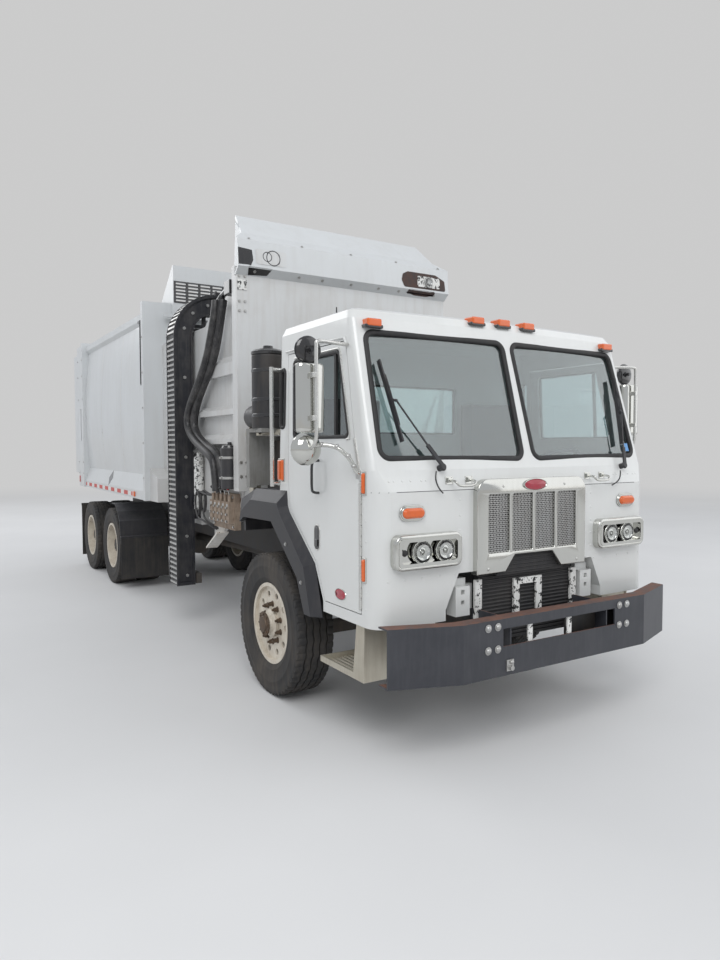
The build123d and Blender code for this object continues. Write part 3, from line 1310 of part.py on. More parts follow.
# Load box
FRAME_TOP = 3500.0              # top of the box's front frame
FRAME_DEPTH = 80.0
FRAME_OPENING = (960.0, 2900.0)
BOX_LEDGE = 1201.0
BOX_LEDGE_Z = (1340.0, 1530.0)
BOX_HALF = (1130.0, 1180.0, 1120.0)      # foot, bulge and head of a side panel
BOX_Z = (2380.0, 3290.0)
BOX_RAIL = 1160.0
BOX_RAIL_Z = (3330.0, 3407.0)
BOX_ROOF = 3490.0
BOX_WALL = 50.0
REAR_POST_Y = BODY_REAR - 380.0
REAR_HALF = 1085.0
REAR_PLATE_X = (1199.0, 1221.0)
REAR_SLOT_Y = (BODY_REAR - 250.0, BODY_REAR - 190.0)
REAR_SLOT_Z = (1950.0, 2450.0)
EAR_LEAD = 130.0
EAR_HALF = 62.0
EAR_WALL = 40.0
TG_Y = BODY_REAR + 5.0
TG_Z = 3525.0
TG_PIN = 16.0
LUG_X = (720.0, 760.0)
LUG_HALF = 30.0
LUG_LEAD = 90.0
PIN_INNER = 640.0


def box_section(wall):
    """Section of the load box, drawn in by wall."""
    foot, bulge, head = (half - wall for half in BOX_HALF)
    middle, top = BOX_Z
    rail_low, rail_high = BOX_RAIL_Z
    floor = BODY_FLOOR + (BODY_WALL if wall else 0)
    rail = BOX_RAIL - wall if wall == 0 else head
    edge = BOX_LEDGE if wall == 0 else foot
    with BuildSketch(across(BODY_FRONT + FRAME_DEPTH)) as section:
        with BuildLine():
            Polyline((edge, floor), (edge, BOX_LEDGE_Z[0]), (foot, BOX_LEDGE_Z[1]))
            ThreePointArc((foot, BOX_LEDGE_Z[1]), (bulge, middle), (head, top))
            Polyline((head, top), (rail, rail_low), (rail, rail_high - wall))
            ThreePointArc((rail, rail_high - wall), (0, BOX_ROOF - wall), (-rail, rail_high - wall))
            Polyline((-rail, rail_high - wall), (-rail, rail_low), (-head, top))
            ThreePointArc((-head, top), (-bulge, middle), (-foot, BOX_LEDGE_Z[1]))
            Polyline((-foot, BOX_LEDGE_Z[1]), (-edge, BOX_LEDGE_Z[0]), (-edge, floor), (edge, floor))
        make_face()
    return section.sketch


def body_box():
    first = BODY_FRONT + FRAME_DEPTH
    with BuildPart() as box:
        # bulged sides between the front frame and the rear post
        extrude(box_section(0.0), amount=-(REAR_POST_Y + FRAME_DEPTH - first))
        block((-BODY_HALF, BODY_HALF), (BODY_FRONT, first), (BODY_FLOOR, FRAME_TOP))
        block((-BODY_HALF, BODY_HALF), (REAR_POST_Y, REAR_POST_Y + FRAME_DEPTH),
              (BODY_FLOOR, FRAME_TOP - FRAME_DEPTH / 2))
        block((-REAR_HALF, REAR_HALF), (REAR_POST_Y, BODY_REAR), (BODY_FLOOR, BODY_TOP + BODY_WALL))
        extrude(box_section(BOX_WALL), amount=-(REAR_POST_Y - first), mode=Mode.SUBTRACT)
        inner = REAR_HALF - BOX_WALL
        floor = BODY_FLOOR + BODY_WALL
        block((-inner, inner), (REAR_POST_Y - GAP, BODY_REAR + GAP), (floor, BODY_TOP - BOX_WALL),
              mode=Mode.SUBTRACT)
        opening, head = FRAME_OPENING
        block((-opening, opening), (BODY_FRONT - GAP, first + GAP), (floor, head), mode=Mode.SUBTRACT)
        for _, hand in LEFT_RIGHT:
            # outer plate with a slot, over the tailgate's cylinder
            block((hand * REAR_PLATE_X[0], hand * REAR_PLATE_X[1]), (REAR_POST_Y, BODY_REAR),
                  (BODY_FLOOR, BODY_TOP))
            block((hand * REAR_PLATE_X[0], hand * REAR_PLATE_X[1]), REAR_SLOT_Y, REAR_SLOT_Z,
                  mode=Mode.SUBTRACT)
            block((hand * (REAR_HALF - BOX_WALL / 2), hand * REAR_PLATE_X[1]), (REAR_POST_Y, BODY_REAR),
                  (BODY_FLOOR, BOX_LEDGE_Z[0]))
            # sill, and ear round the tipping pin inside the frame's ear
            block((hand * SILL_HALF, hand * (SILL_HALF + SILL_WIDTH)), (BODY_FRONT, TILT_Y - EAR_LEAD),
                  (SILL_LOW, BODY_FLOOR))
            inner_ear = hand * (RAIL_HALF - TILT_EAR - GAP)
            ear = ((TILT_Y - EAR_LEAD, SILL_LOW), (TILT_Y, TILT_Z - EAR_HALF), (TILT_Y + EAR_HALF, TILT_Z),
                   (TILT_Y + EAR_HALF, BODY_FLOOR), (TILT_Y - EAR_LEAD, BODY_FLOOR))
            slab(along(inner_ear), ear, -hand * EAR_WALL)
            rod((inner_ear, TILT_Y, TILT_Z), (inner_ear - hand * 2 * EAR_WALL, TILT_Y, TILT_Z),
                TILT_PIN + BEARING_GAP,
                mode=Mode.SUBTRACT)
            # lugs and pins that carry the tailgate
            lug = (hand * LUG_X[0], hand * LUG_X[1])
            block(lug, (BODY_REAR - LUG_LEAD, BODY_REAR), (BODY_TOP, TG_Z + LUG_HALF))
            block(lug, (BODY_REAR, BODY_REAR + LUG_HALF), (TG_Z - LUG_HALF, TG_Z + LUG_HALF))
            rod((hand * LUG_X[1], TG_Y, TG_Z), (hand * PIN_INNER, TG_Y, TG_Z), TG_PIN)
            # pins of the tailgate's cylinders
            rod((hand * (REAR_HALF - BOX_WALL / 2), *GATE_BASE), (hand * REAR_PLATE_X[0], *GATE_BASE),
                HOIST_PIN)
            # lugs for the tipping cylinders' eyes
            for low, high in ((-HOIST_LUGS[1], -HOIST_LUGS[0]), HOIST_LUGS):
                block((hand * (HOIST_X + low), hand * (HOIST_X + high)),
                      (HOIST_EYE[0] - HOIST_LUG_Y, HOIST_EYE[0] + HOIST_LUG_Y),
                      (HOIST_EYE[1] - HOIST_LUG_LOW, BODY_FLOOR + BODY_WALL / 2))
            stub_pins(hand, HOIST_X, HOIST_EYE, HOIST_X - HOIST_LUGS[1], HOIST_X + HOIST_LUGS[1])
    write(box, "body_box")


# Tailgate
TAILGATE_DEPTH = 254.0
TAILGATE_HALF = 1078.0
TAILGATE_LOW = 1215.0
TAILGATE_SLOPE = (120.0, 1600.0)
TAILGATE_HEAD = (110.0, 2900.0)
TAILGATE_TOP = (3390.0, 3400.0)
CHEEK_Z = (1450.0, 3300.0)
CHEEK_BACK = 22.0
GATE_EAR_X = (670.0, 710.0)
GATE_EAR = (                    # (behind the hinge, above it)
    (-26.0, 0.0), (0.0, 30.0), (60.0, 0.0), (90.0, -140.0), (8.0, -140.0), (8.0, -45.0), (-14.0, -26.0),
)
PLATE_HALF = 160.0
PLATE_HEIGHT = 165.0
PLATE_LOW = 1640.0
PLATE_DEPTH = 8.0
PLATE_HOLES_X = 178.0
PLATE_HOLES_Z = 121.0
PLATE_HOLE = 3.5


def tailgate():
    front = BODY_REAR + GAP
    back = front + TAILGATE_DEPTH
    wall = BODY_WALL
    slope, slope_z = TAILGATE_SLOPE
    lean, head_z = TAILGATE_HEAD
    crown, top = TAILGATE_TOP
    outer = (
        (front, TAILGATE_LOW), (back - slope, TAILGATE_LOW), (back, slope_z), (back, head_z),
        (back - lean, crown), (front, top),
    )
    inner = (
        (front - GAP, TAILGATE_LOW + wall), (back - slope - wall, TAILGATE_LOW + wall),
        (back - wall, slope_z),
        (back - wall, head_z), (back - lean - wall, crown - wall), (front - GAP, top - wall),
    )
    with BuildPart() as gate:
        slab(along(-TAILGATE_HALF), outer, 2 * TAILGATE_HALF)
        slab(along(-TAILGATE_HALF + wall), inner, 2 * (TAILGATE_HALF - wall), mode=Mode.SUBTRACT)
        for _, hand in LEFT_RIGHT:
            # cheek outside the cylinder, joined by a back plate
            block((hand * TAILGATE_HALF, hand * REAR_PLATE_X[1]), (back - CHEEK_BACK, back), CHEEK_Z)
            block((hand * REAR_PLATE_X[0], hand * REAR_PLATE_X[1]), (front, back), CHEEK_Z)
            # hinge ear
            ear = tuple((TG_Y + behind, TG_Z + above) for behind, above in GATE_EAR)
            slab(along(hand * GATE_EAR_X[0]), ear, hand * (GATE_EAR_X[1] - GATE_EAR_X[0]))
            rod((hand * (GATE_EAR_X[0] - GAP), TG_Y, TG_Z), (hand * (GATE_EAR_X[1] + GAP), TG_Y, TG_Z),
                TG_PIN + BEARING_GAP, mode=Mode.SUBTRACT)
            stub_pins(hand, GATE_CYLINDER_X, GATE_EYE, TAILGATE_HALF - wall / 2, sum(REAR_PLATE_X) / 2)
        # number plate holder with the four standard holes
        holder = (PLATE_LOW, PLATE_LOW + PLATE_HEIGHT)
        block((-PLATE_HALF, PLATE_HALF), (back - wall, back + PLATE_DEPTH), holder)
        face = Plane(origin=(0, back + PLATE_DEPTH, sum(holder) / 2), x_dir=(1, 0, 0), z_dir=(0, -1, 0))
        with BuildSketch(face) as holes:
            with GridLocations(PLATE_HOLES_X, PLATE_HOLES_Z, 2, 2):
                Circle(PLATE_HOLE)
        extrude(holes.sketch, amount=PLATE_DEPTH + wall, mode=Mode.SUBTRACT)
    write(gate, "tailgate")


# Cylinders: each is a barrel on a pin and a rod that slides out of it
MOUTH_SHARE = {"tailgate": 0.86, "hoist": 0.9}


def cylinder(name, x, base, eye, barrel, piston):
    """Barrels and rods of a pair of cylinders, at X = +x and -x."""
    start, end = Vector(0, *base), Vector(0, *eye)
    unit = (end - start).normalized()
    mouth = start + unit * ((end - start).length * MOUTH_SHARE[name])
    bore = piston + BEARING_GAP
    with BuildPart() as barrels:
        for side in (x, -x):
            shift = Vector(side, 0, 0)
            half = Vector(EYE_HALF, 0, 0)
            rod(tuple(start + unit * (HOIST_PIN + GAP) + shift), tuple(mouth + shift), barrel)
            rod(tuple(start + shift - half), tuple(start + shift + half), HOIST_PIN + EYE_WALL)
            rod(tuple(start + unit * BORE_LEAD + shift), tuple(mouth + unit * GAP + shift), bore,
                mode=Mode.SUBTRACT)
            rod(tuple(start + shift - half), tuple(start + shift + half), HOIST_PIN + BEARING_GAP,
                mode=Mode.SUBTRACT)
    write(barrels, f"{name}_barrels")
    with BuildPart() as rods:
        for side in (x, -x):
            shift = Vector(side, 0, 0)
            half = Vector(EYE_HALF - SEAT_GAP, 0, 0)
            rod(tuple(start + unit * (BORE_LEAD + GAP) + shift), tuple(end - unit * piston + shift), piston)
            rod(tuple(end + shift - half), tuple(end + shift + half), piston * ROD_EYE_SHARE)
            rod(tuple(end + shift - half), tuple(end + shift + half), GATE_PIN + BEARING_GAP,
                mode=Mode.SUBTRACT)
    write(rods, f"{name}_rods")


GATE_BORES = (38.0, 20.0)
HOIST_BORES = (55.0, 34.0)


def cylinders():
    cylinder("tailgate", GATE_CYLINDER_X, GATE_BASE, GATE_EYE, *GATE_BORES)
    cylinder("hoist", HOIST_X, (HOIST_BASE_Y, HOIST_BASE_Z), HOIST_EYE, *HOIST_BORES)


# Lifting arm: an upright band that turns inboard at its head
MAST_PLATE = 12.0
CHAIN_INSET = 16.0
MAST_RUN = 275.0                # straight run inboard of the turn
SLIDE_Z = (1120.0, 1210.0)
SLIDE_WIDTH = 60.0
SLIDE_Y = (MAST_FRONT + 20.0, MAST_FRONT + MAST_WIDTH - 80.0)
SLIDE_END = 300.0
BAR_X = (-1035.0, -870.0)
BARS_Z = (3030.0, 3068.0)
BAR_HEIGHT = 26.0
CHAIN_PITCH = 50.0
CHAIN_LINK = 20.0
CHAIN_DEPTH = 14.0
CHAIN_MARGIN = 14.0
CHAIN_TAIL = 240.0              # side strips along the straight run


def mast_band(outer, inner, low, run):
    """Outline of the mast in (X, Z): straight up, a quarter turn inboard, then a straight run."""
    end = ARCH_X + run
    turn = sqrt(0.5)
    with BuildSketch(across(MAST_FRONT)) as band:
        with BuildLine():
            Line((ARCH_X - outer, low), (ARCH_X - outer, ARCH_Z))
            ThreePointArc((ARCH_X - outer, ARCH_Z), (ARCH_X - outer * turn, ARCH_Z + outer * turn),
                          (ARCH_X, ARCH_Z + outer))
            Polyline((ARCH_X, ARCH_Z + outer), (end, ARCH_Z + outer), (end, ARCH_Z + inner),
                     (ARCH_X, ARCH_Z + inner))
            ThreePointArc((ARCH_X, ARCH_Z + inner), (ARCH_X - inner * turn, ARCH_Z + inner * turn),
                          (ARCH_X - inner, ARCH_Z))
            Polyline((ARCH_X - inner, ARCH_Z), (ARCH_X - inner, low), (ARCH_X - outer, low))
        make_face()
    return band.sketch


def mast():
    outer = ARCH_RADIUS
    inner = ARCH_RADIUS - MAST_BAND
    with BuildPart() as arm:
        extrude(mast_band(outer, inner, MAST_BOTTOM, MAST_RUN), amount=-MAST_WIDTH)
        groove = mast_band(outer + CHAIN_INSET, outer - CHAIN_INSET, MAST_BOTTOM - GAP, MAST_RUN + GAP)
        groove = groove.moved(Location((0, MAST_PLATE, 0)))
        extrude(groove, amount=-(MAST_WIDTH - 2 * MAST_PLATE), mode=Mode.SUBTRACT)
        # channels along the band's front and rear faces
        web = mast_band(outer - 2 * CHAIN_INSET, inner + CHAIN_INSET, MAST_BOTTOM + 2 * CHAIN_INSET,
                        MAST_RUN - 2 * CHAIN_INSET)
        extrude(web, amount=-CHAIN_INSET, mode=Mode.SUBTRACT)
        extrude(web.moved(Location((0, MAST_WIDTH - CHAIN_INSET, 0))), amount=-CHAIN_INSET,
                mode=Mode.SUBTRACT)
        # tubes that slide in and out under the hopper, and bars inside the turn
        for y in SLIDE_Y:
            block((ARCH_X - inner - CHAIN_INSET, SLIDE_END), (y, y + SLIDE_WIDTH), SLIDE_Z)
        for z in BARS_Z:
            block(BAR_X, (MAST_FRONT + SLIDE_WIDTH, MAST_FRONT + 2 * SLIDE_WIDTH), (z, z + BAR_HEIGHT))
        block((BAR_X[1] - BAR_HEIGHT, BAR_X[1]), (MAST_FRONT + SLIDE_WIDTH, MAST_FRONT + 2 * SLIDE_WIDTH),
              (BARS_Z[0], ARCH_Z + inner + CHAIN_INSET))
    write(arm, "mast")


def mast_chain():
    """Ladder of links down the mast's outer groove and round its head."""
    y = (MAST_FRONT + CHAIN_MARGIN, MAST_FRONT + MAST_WIDTH - CHAIN_MARGIN)
    seat = ARCH_RADIUS - CHAIN_INSET
    count = int((ARCH_Z - MAST_BOTTOM) / CHAIN_PITCH)
    with BuildPart() as chain:
        for index in range(count):
            z = MAST_BOTTOM + (index + 0.5) * CHAIN_PITCH
            block((ARCH_X - seat - CHAIN_DEPTH, ARCH_X - seat), y, (z - CHAIN_LINK / 2, z + CHAIN_LINK / 2))
        links = int(pi / 2 * seat / CHAIN_PITCH)
        for index in range(1, links + 1):
            angle = pi / 2 * index / (links + 1)
            place = Plane(origin=(ARCH_X, y[0], ARCH_Z), z_dir=(0, -1, 0),
                          x_dir=(-cos(angle), 0, sin(angle)))
            with BuildSketch(place) as link:
                with Locations((seat + CHAIN_DEPTH / 2, 0)):
                    Rectangle(CHAIN_DEPTH, CHAIN_LINK)
            extrude(link.sketch, amount=-(y[1] - y[0]))
        # two side strips that hold the links
        for low, high in ((y[0], y[0] + CHAIN_MARGIN), (y[1] - CHAIN_MARGIN, y[1])):
            band = mast_band(seat + CHAIN_DEPTH / 2, seat, MAST_BOTTOM, CHAIN_TAIL)
            extrude(band.moved(Location((0, low - MAST_FRONT, 0))), amount=-(high - low))
    write(chain, "mast_chain")


# Carriage on the mast's head and the two fingers on it
CARRIAGE_Z = ARCH_Z + ARCH_RADIUS + 8.0
CARRIAGE_X = (ARCH_X + 75.0, ARCH_X + 275.0)
CARRIAGE_WALL = 24.0
CARRIAGE_REACH = 60.0
FINGER_Y = (MAST_FRONT - 30.0, MAST_FRONT + MAST_WIDTH + 30.0)
FINGER_Z = CARRIAGE_Z + 60.0
FINGER_X = (ARCH_X + 105.0, ARCH_X + 245.0)
FINGER_PIN = 14.0
FORK_WALL = 18.0
FORK_HALF = 30.0
FINGER = (                      # (out from the pin, above the pin)
    (-20.0, -20.0), (110.0, -24.0), (330.0, -8.0), (455.0, 40.0),
    (445.0, 68.0), (315.0, 34.0), (100.0, 22.0), (-20.0, 20.0),
)


def carriage():
    fork_top = FINGER_Z + FORK_HALF
    with BuildPart() as plate:
        block(CARRIAGE_X, (MAST_FRONT - CARRIAGE_REACH, MAST_FRONT + MAST_WIDTH + CARRIAGE_REACH),
              (CARRIAGE_Z, CARRIAGE_Z + CARRIAGE_WALL))
        near, far = FINGER_X[0] - GAP, FINGER_X[1] + GAP
        for y in FINGER_Y:
            for low, high in ((near - FORK_WALL, near), (far, far + FORK_WALL)):
                block((low, high), (y - FORK_HALF, y + FORK_HALF), (CARRIAGE_Z, fork_top))
            rod((near - FORK_WALL, y, FINGER_Z), (far + FORK_WALL, y, FINGER_Z), FINGER_PIN)
    write(plate, "carriage")


def fingers():
    for name, hand, y in (("front", -1.0, FINGER_Y[0]), ("rear", 1.0, FINGER_Y[1])):
        points = tuple((y + hand * out, FINGER_Z + up) for out, up in FINGER)
        with BuildPart() as finger:
            slab(along(FINGER_X[0]), points, FINGER_X[1] - FINGER_X[0])
            rod((FINGER_X[0] - GAP, y, FINGER_Z), (FINGER_X[1] + GAP, y, FINGER_Z),
                FINGER_PIN + BEARING_GAP,
                mode=Mode.SUBTRACT)
        write(finger, f"finger_{name}")


# Mirrors on the doors
MIRROR_X = 1440.0
MIRROR_Y = BUMPER_FACE + 600.0
MIRROR_HALF = 95.0
MIRROR_DEPTH = 55.0
MIRROR_Z = (1935.0, 2345.0)
MIRROR_ROUND = 18.0
SPOT_RADIUS = 84.0
SPOT_Z = 2435.0
BOWL_Z = 1840.0
BOWL_SIZE = (98.0, 60.0)        # radius and depth
TUBE_Y = MIRROR_Y + 90.0
TUBE_RADIUS = 12.0
TUBE_Z = (1800.0, 2468.0)
TUBE_OVERRUN = 16.0
STALK_HALF = 10.0


def mirrors():
    depth = MIRROR_Y + MIRROR_DEPTH
    for name, hand in LEFT_RIGHT:
        x = hand * MIRROR_X
        with BuildPart() as mirror:
            block((x - MIRROR_HALF, x + MIRROR_HALF), (MIRROR_Y, depth), MIRROR_Z)
            fillet(mirror.faces().sort_by(Axis.Y)[0].edges(), radius=MIRROR_ROUND)
            # round mirrors above and below, the lower one a bowl
            rod((x, depth, SPOT_Z), (x, depth + MIRROR_DEPTH / 2, SPOT_Z), SPOT_RADIUS)
            radius, bowl = BOWL_SIZE
            with BuildSketch(Plane(origin=(x, TUBE_Y, BOWL_Z), x_dir=(0, -1, 0),
                                   z_dir=(1, 0, 0))) as half_bowl:
                with BuildLine():
                    Line((0, 0), (bowl, 0))
                    ThreePointArc((bowl, 0), (bowl * sqrt(0.5), radius * sqrt(0.5)), (0, radius))
                    Line((0, radius), (0, 0))
                make_face()
            revolve(half_bowl.sketch, axis=Axis((x, TUBE_Y, BOWL_Z), (0, 1, 0)))
            # tubes round the mirrors and to the door
            block((x - STALK_HALF, x + STALK_HALF), (depth - STALK_HALF, TUBE_Y),
                  (MIRROR_Z[0] + SPOT_RADIUS, MIRROR_Z[1] - SPOT_RADIUS))
            for z in TUBE_Z:
                rod((x, TUBE_Y, z), (hand * (CAB_HALF - CAB_WALL), TUBE_Y, z), TUBE_RADIUS)
            rod((x, TUBE_Y, TUBE_Z[0] - TUBE_OVERRUN), (x, TUBE_Y, TUBE_Z[1] + TUBE_OVERRUN), TUBE_RADIUS)
            add(OUTER_FORM, mode=Mode.SUBTRACT)
        write(mirror, f"mirror_{name}")


# Grab bars behind the doors
GRAB_X = 1262.0
GRAB_Y = BUMPER_FACE + 1560.0
GRAB_Z = (1590.0, 2400.0)
GRAB_RADIUS = 15.0
GRAB_OVERRUN = 19.0


def grab_bars():
    with BuildPart() as bars:
        for _, hand in LEFT_RIGHT:
            low, high = GRAB_Z
            rod((hand * GRAB_X, GRAB_Y, low - GRAB_OVERRUN), (hand * GRAB_X, GRAB_Y, high + GRAB_OVERRUN),
                GRAB_RADIUS)
            for z in GRAB_Z:
                rod((hand * GRAB_X, GRAB_Y, z), (hand * (CAB_TOP_HALF - CAB_WALL), GRAB_Y, z), GRAB_RADIUS)
        add(OUTER_FORM, mode=Mode.SUBTRACT)
    write(bars, "grab_bars")


frame_rails()
cab_supports()
front_bumper()
cab_shell()
cab_glass()
doors()
front_grille()
radiator()
radiator_frame()
headlamps()
marker_lamps()
seats()
dashboard()
engine()
cab_steps()
fenders()
mud_flaps()
air_cleaner()
rear_rack()
tanks()
front_axle()
knuckles()
tie_rod()
drive_axles()
wheels()
hopper()
valves()
canister()
actuator()
canopy()
hopper_screen()
body_box()
tailgate()
cylinders()
mast()
mast_chain()
carriage()
fingers()
mirrors()
grab_bars()
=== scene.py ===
"""Garbage truck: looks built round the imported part. Metres, X to the truck's left, Y to its rear, Z up."""
import json
import math
import random

import bmesh
import bpy
from mathutils import Matrix, Vector
from mathutils.bvhtree import BVHTree


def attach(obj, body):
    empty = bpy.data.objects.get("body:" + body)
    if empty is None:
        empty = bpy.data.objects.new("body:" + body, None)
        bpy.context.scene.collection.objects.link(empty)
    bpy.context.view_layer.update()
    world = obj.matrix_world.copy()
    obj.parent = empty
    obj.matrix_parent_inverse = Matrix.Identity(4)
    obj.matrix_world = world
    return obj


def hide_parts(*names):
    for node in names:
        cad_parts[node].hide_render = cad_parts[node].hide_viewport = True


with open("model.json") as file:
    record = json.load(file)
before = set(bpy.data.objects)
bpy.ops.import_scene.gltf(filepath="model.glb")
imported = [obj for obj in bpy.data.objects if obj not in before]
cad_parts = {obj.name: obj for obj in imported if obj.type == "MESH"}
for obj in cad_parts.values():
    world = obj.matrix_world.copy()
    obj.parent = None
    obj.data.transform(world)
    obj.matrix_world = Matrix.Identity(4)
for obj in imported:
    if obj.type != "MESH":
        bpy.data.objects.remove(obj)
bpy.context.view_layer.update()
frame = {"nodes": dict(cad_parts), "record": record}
NODES = frame["nodes"]

FRONT = -4.620                 # the bumper's face; a station is a distance behind it
SIDES = (("left", 1.0), ("right", -1.0))
ALONG, UP = Vector((0, 1, 0)), Vector((0, 0, 1))

# The picture: backdrop, floor, lights (name, place, size, watts) and the photograph's camera
BACKDROP = (0.60, 0.60, 0.60)
WORLD = (0.60, 0.62, 0.65)
FLOOR_SIZE, FLOOR_DROP = 400.0, 0.002
FLOOR_FADE = {"From Min": 9.0, "From Max": 30.0}
LIGHTS = (("key", (-9.0, -14.0, 14.0), 10.0, 1500.0), ("fill", (12.0, -10.0, 9.0), 18.0, 760.0),
          ("back", (-6.0, 14.0, 12.0), 12.0, 800.0))
LIGHTS_AIM = Vector((0, -1, 1.5))
CAMERA_AT, CAMERA_LENS, CAMERA_SENSOR = (-3.4010, -7.7015, 1.8564), 26.652, 36.0
CAMERA_YAW, CAMERA_PITCH, CAMERA_ROLL = (math.radians(a) for a in (31.79, -2.72, -0.137))

MATERIALS = {}
TREES = {}


# Node helpers
def new_material(name):
    """Tree and shader of a new material, which MATERIALS keeps."""
    mat = MATERIALS[name] = bpy.data.materials.new(name)
    mat.use_nodes = True
    return mat.node_tree, mat.node_tree.nodes["Principled BSDF"]


def fill(made, values):
    """Set or link a node's sockets, and set its own properties."""
    for key, value in values.items():
        if key not in made.inputs:
            setattr(made, key, value)
        elif isinstance(value, bpy.types.NodeSocket):
            made.id_data.links.new(value, made.inputs[key])
        else:
            made.inputs[key].default_value = value


def node(tree, kind, *sources, **values):
    """New node with its first sockets linked to sources."""
    made = tree.nodes.new(kind)
    fill(made, values)
    for source, socket in zip(sources, made.inputs):
        tree.links.new(source, socket)
    return made


def coords(tree, scale=(1, 1, 1)):
    where = node(tree, "ShaderNodeTexCoord").outputs["Object"]
    return node(tree, "ShaderNodeMapping", where, Scale=scale).outputs["Vector"]


def noise(tree, vector, scale, detail=4.0, roughness=0.55):
    return node(tree, "ShaderNodeTexNoise", vector, Scale=scale, Detail=detail, Roughness=roughness).outputs["Fac"]


def ramp(tree, value, *stops):
    """Two greys at two positions along a value."""
    made = node(tree, "ShaderNodeValToRGB", value)
    for element, (position, shade) in zip(made.color_ramp.elements, stops):
        element.position = position
        element.color = (shade, shade, shade, 1.0)
    return made.outputs["Color"]


def mix(tree, factor, first, second):
    made = node(tree, "ShaderNodeMix", data_type="RGBA")
    for index, value in ((0, factor), (6, first), (7, second)):
        if isinstance(value, bpy.types.NodeSocket):
            tree.links.new(value, made.inputs[index])
        else:
            made.inputs[index].default_value = (*value, 1.0) if index else value
    return made.outputs[2]


def times(tree, value, factor, add=0.0):
    made = node(tree, "ShaderNodeMath", value, operation="MULTIPLY_ADD")
    made.inputs[1].default_value, made.inputs[2].default_value = factor, add
    return made.outputs[0]


def split(tree, kind="ShaderNodeTexCoord", output="Object"):
    """X, Y and Z of a point on the object, or of another node's output."""
    return node(tree, "ShaderNodeSeparateXYZ", node(tree, kind).outputs[output]).outputs


def rise(tree, value, low, high):
    """0 to 1 as a value goes from low to high."""
    return node(tree, "ShaderNodeMapRange", value, **{"From Min": low, "From Max": high}).outputs["Result"]


def stage():
    """Pale floor, soft light and the photograph's camera."""
    bpy.ops.mesh.primitive_plane_add(size=FLOOR_SIZE, location=(0, 0, -FLOOR_DROP))
    floor = bpy.context.object
    floor.name = "floor"
    tree, shader = new_material("floor")
    cloud = noise(tree, coords(tree), 0.4, 3.0)
    fill(shader, {"Base Color": ramp(tree, cloud, (0.3, 0.66), (0.7, 0.70)), "Roughness": 0.85})
    # far off the floor takes the backdrop's tone, so that no horizon shows
    where = node(tree, "ShaderNodeTexCoord").outputs["Object"]
    far = node(tree, "ShaderNodeVectorMath", where, operation="LENGTH").outputs["Value"]
    fade = node(tree, "ShaderNodeMapRange", far, interpolation_type="SMOOTHSTEP", **FLOOR_FADE).outputs["Result"]
    glow = node(tree, "ShaderNodeEmission", Color=(*BACKDROP, 1.0)).outputs["Emission"]
    both = node(tree, "ShaderNodeMixShader", fade, shader.outputs["BSDF"], glow)
    fill(tree.nodes["Material Output"], {"Surface": both.outputs["Shader"]})
    floor.data.materials.append(MATERIALS["floor"])
    scene = bpy.context.scene
    scene.world = bpy.data.worlds.new("studio")
    scene.world.use_nodes = True
    tree = scene.world.node_tree
    seen = node(tree, "ShaderNodeLightPath").outputs["Is Camera Ray"]
    fill(tree.nodes["Background"], {"Color": mix(tree, seen, WORLD, BACKDROP), "Strength": 1.0})
    for name, place, size, power in LIGHTS:
        data = bpy.data.lights.new(name, "AREA")
        data.size = size
        data.energy = power
        lamp = bpy.data.objects.new(name, data)
        scene.collection.objects.link(lamp)
        lamp.location = place
        lamp.rotation_euler = (LIGHTS_AIM - Vector(place)).to_track_quat("-Z", "Y").to_euler()
    data = bpy.data.cameras.new("camera")
    data.lens = CAMERA_LENS
    data.sensor_width = CAMERA_SENSOR
    data.clip_end = 500.0
    camera = bpy.data.objects.new("camera", data)
    scene.collection.objects.link(camera)
    camera.location = CAMERA_AT
    level = math.cos(CAMERA_PITCH)
    way = Vector((math.sin(CAMERA_YAW) * level, math.cos(CAMERA_YAW) * level, math.sin(CAMERA_PITCH)))
    turn = way.to_track_quat("-Z", "Y").to_matrix() @ Matrix.Rotation(CAMERA_ROLL, 3, "Z")
    camera.rotation_euler = turn.to_euler()
    scene.camera = camera
    scene.view_settings.view_transform = "Standard"


stage()


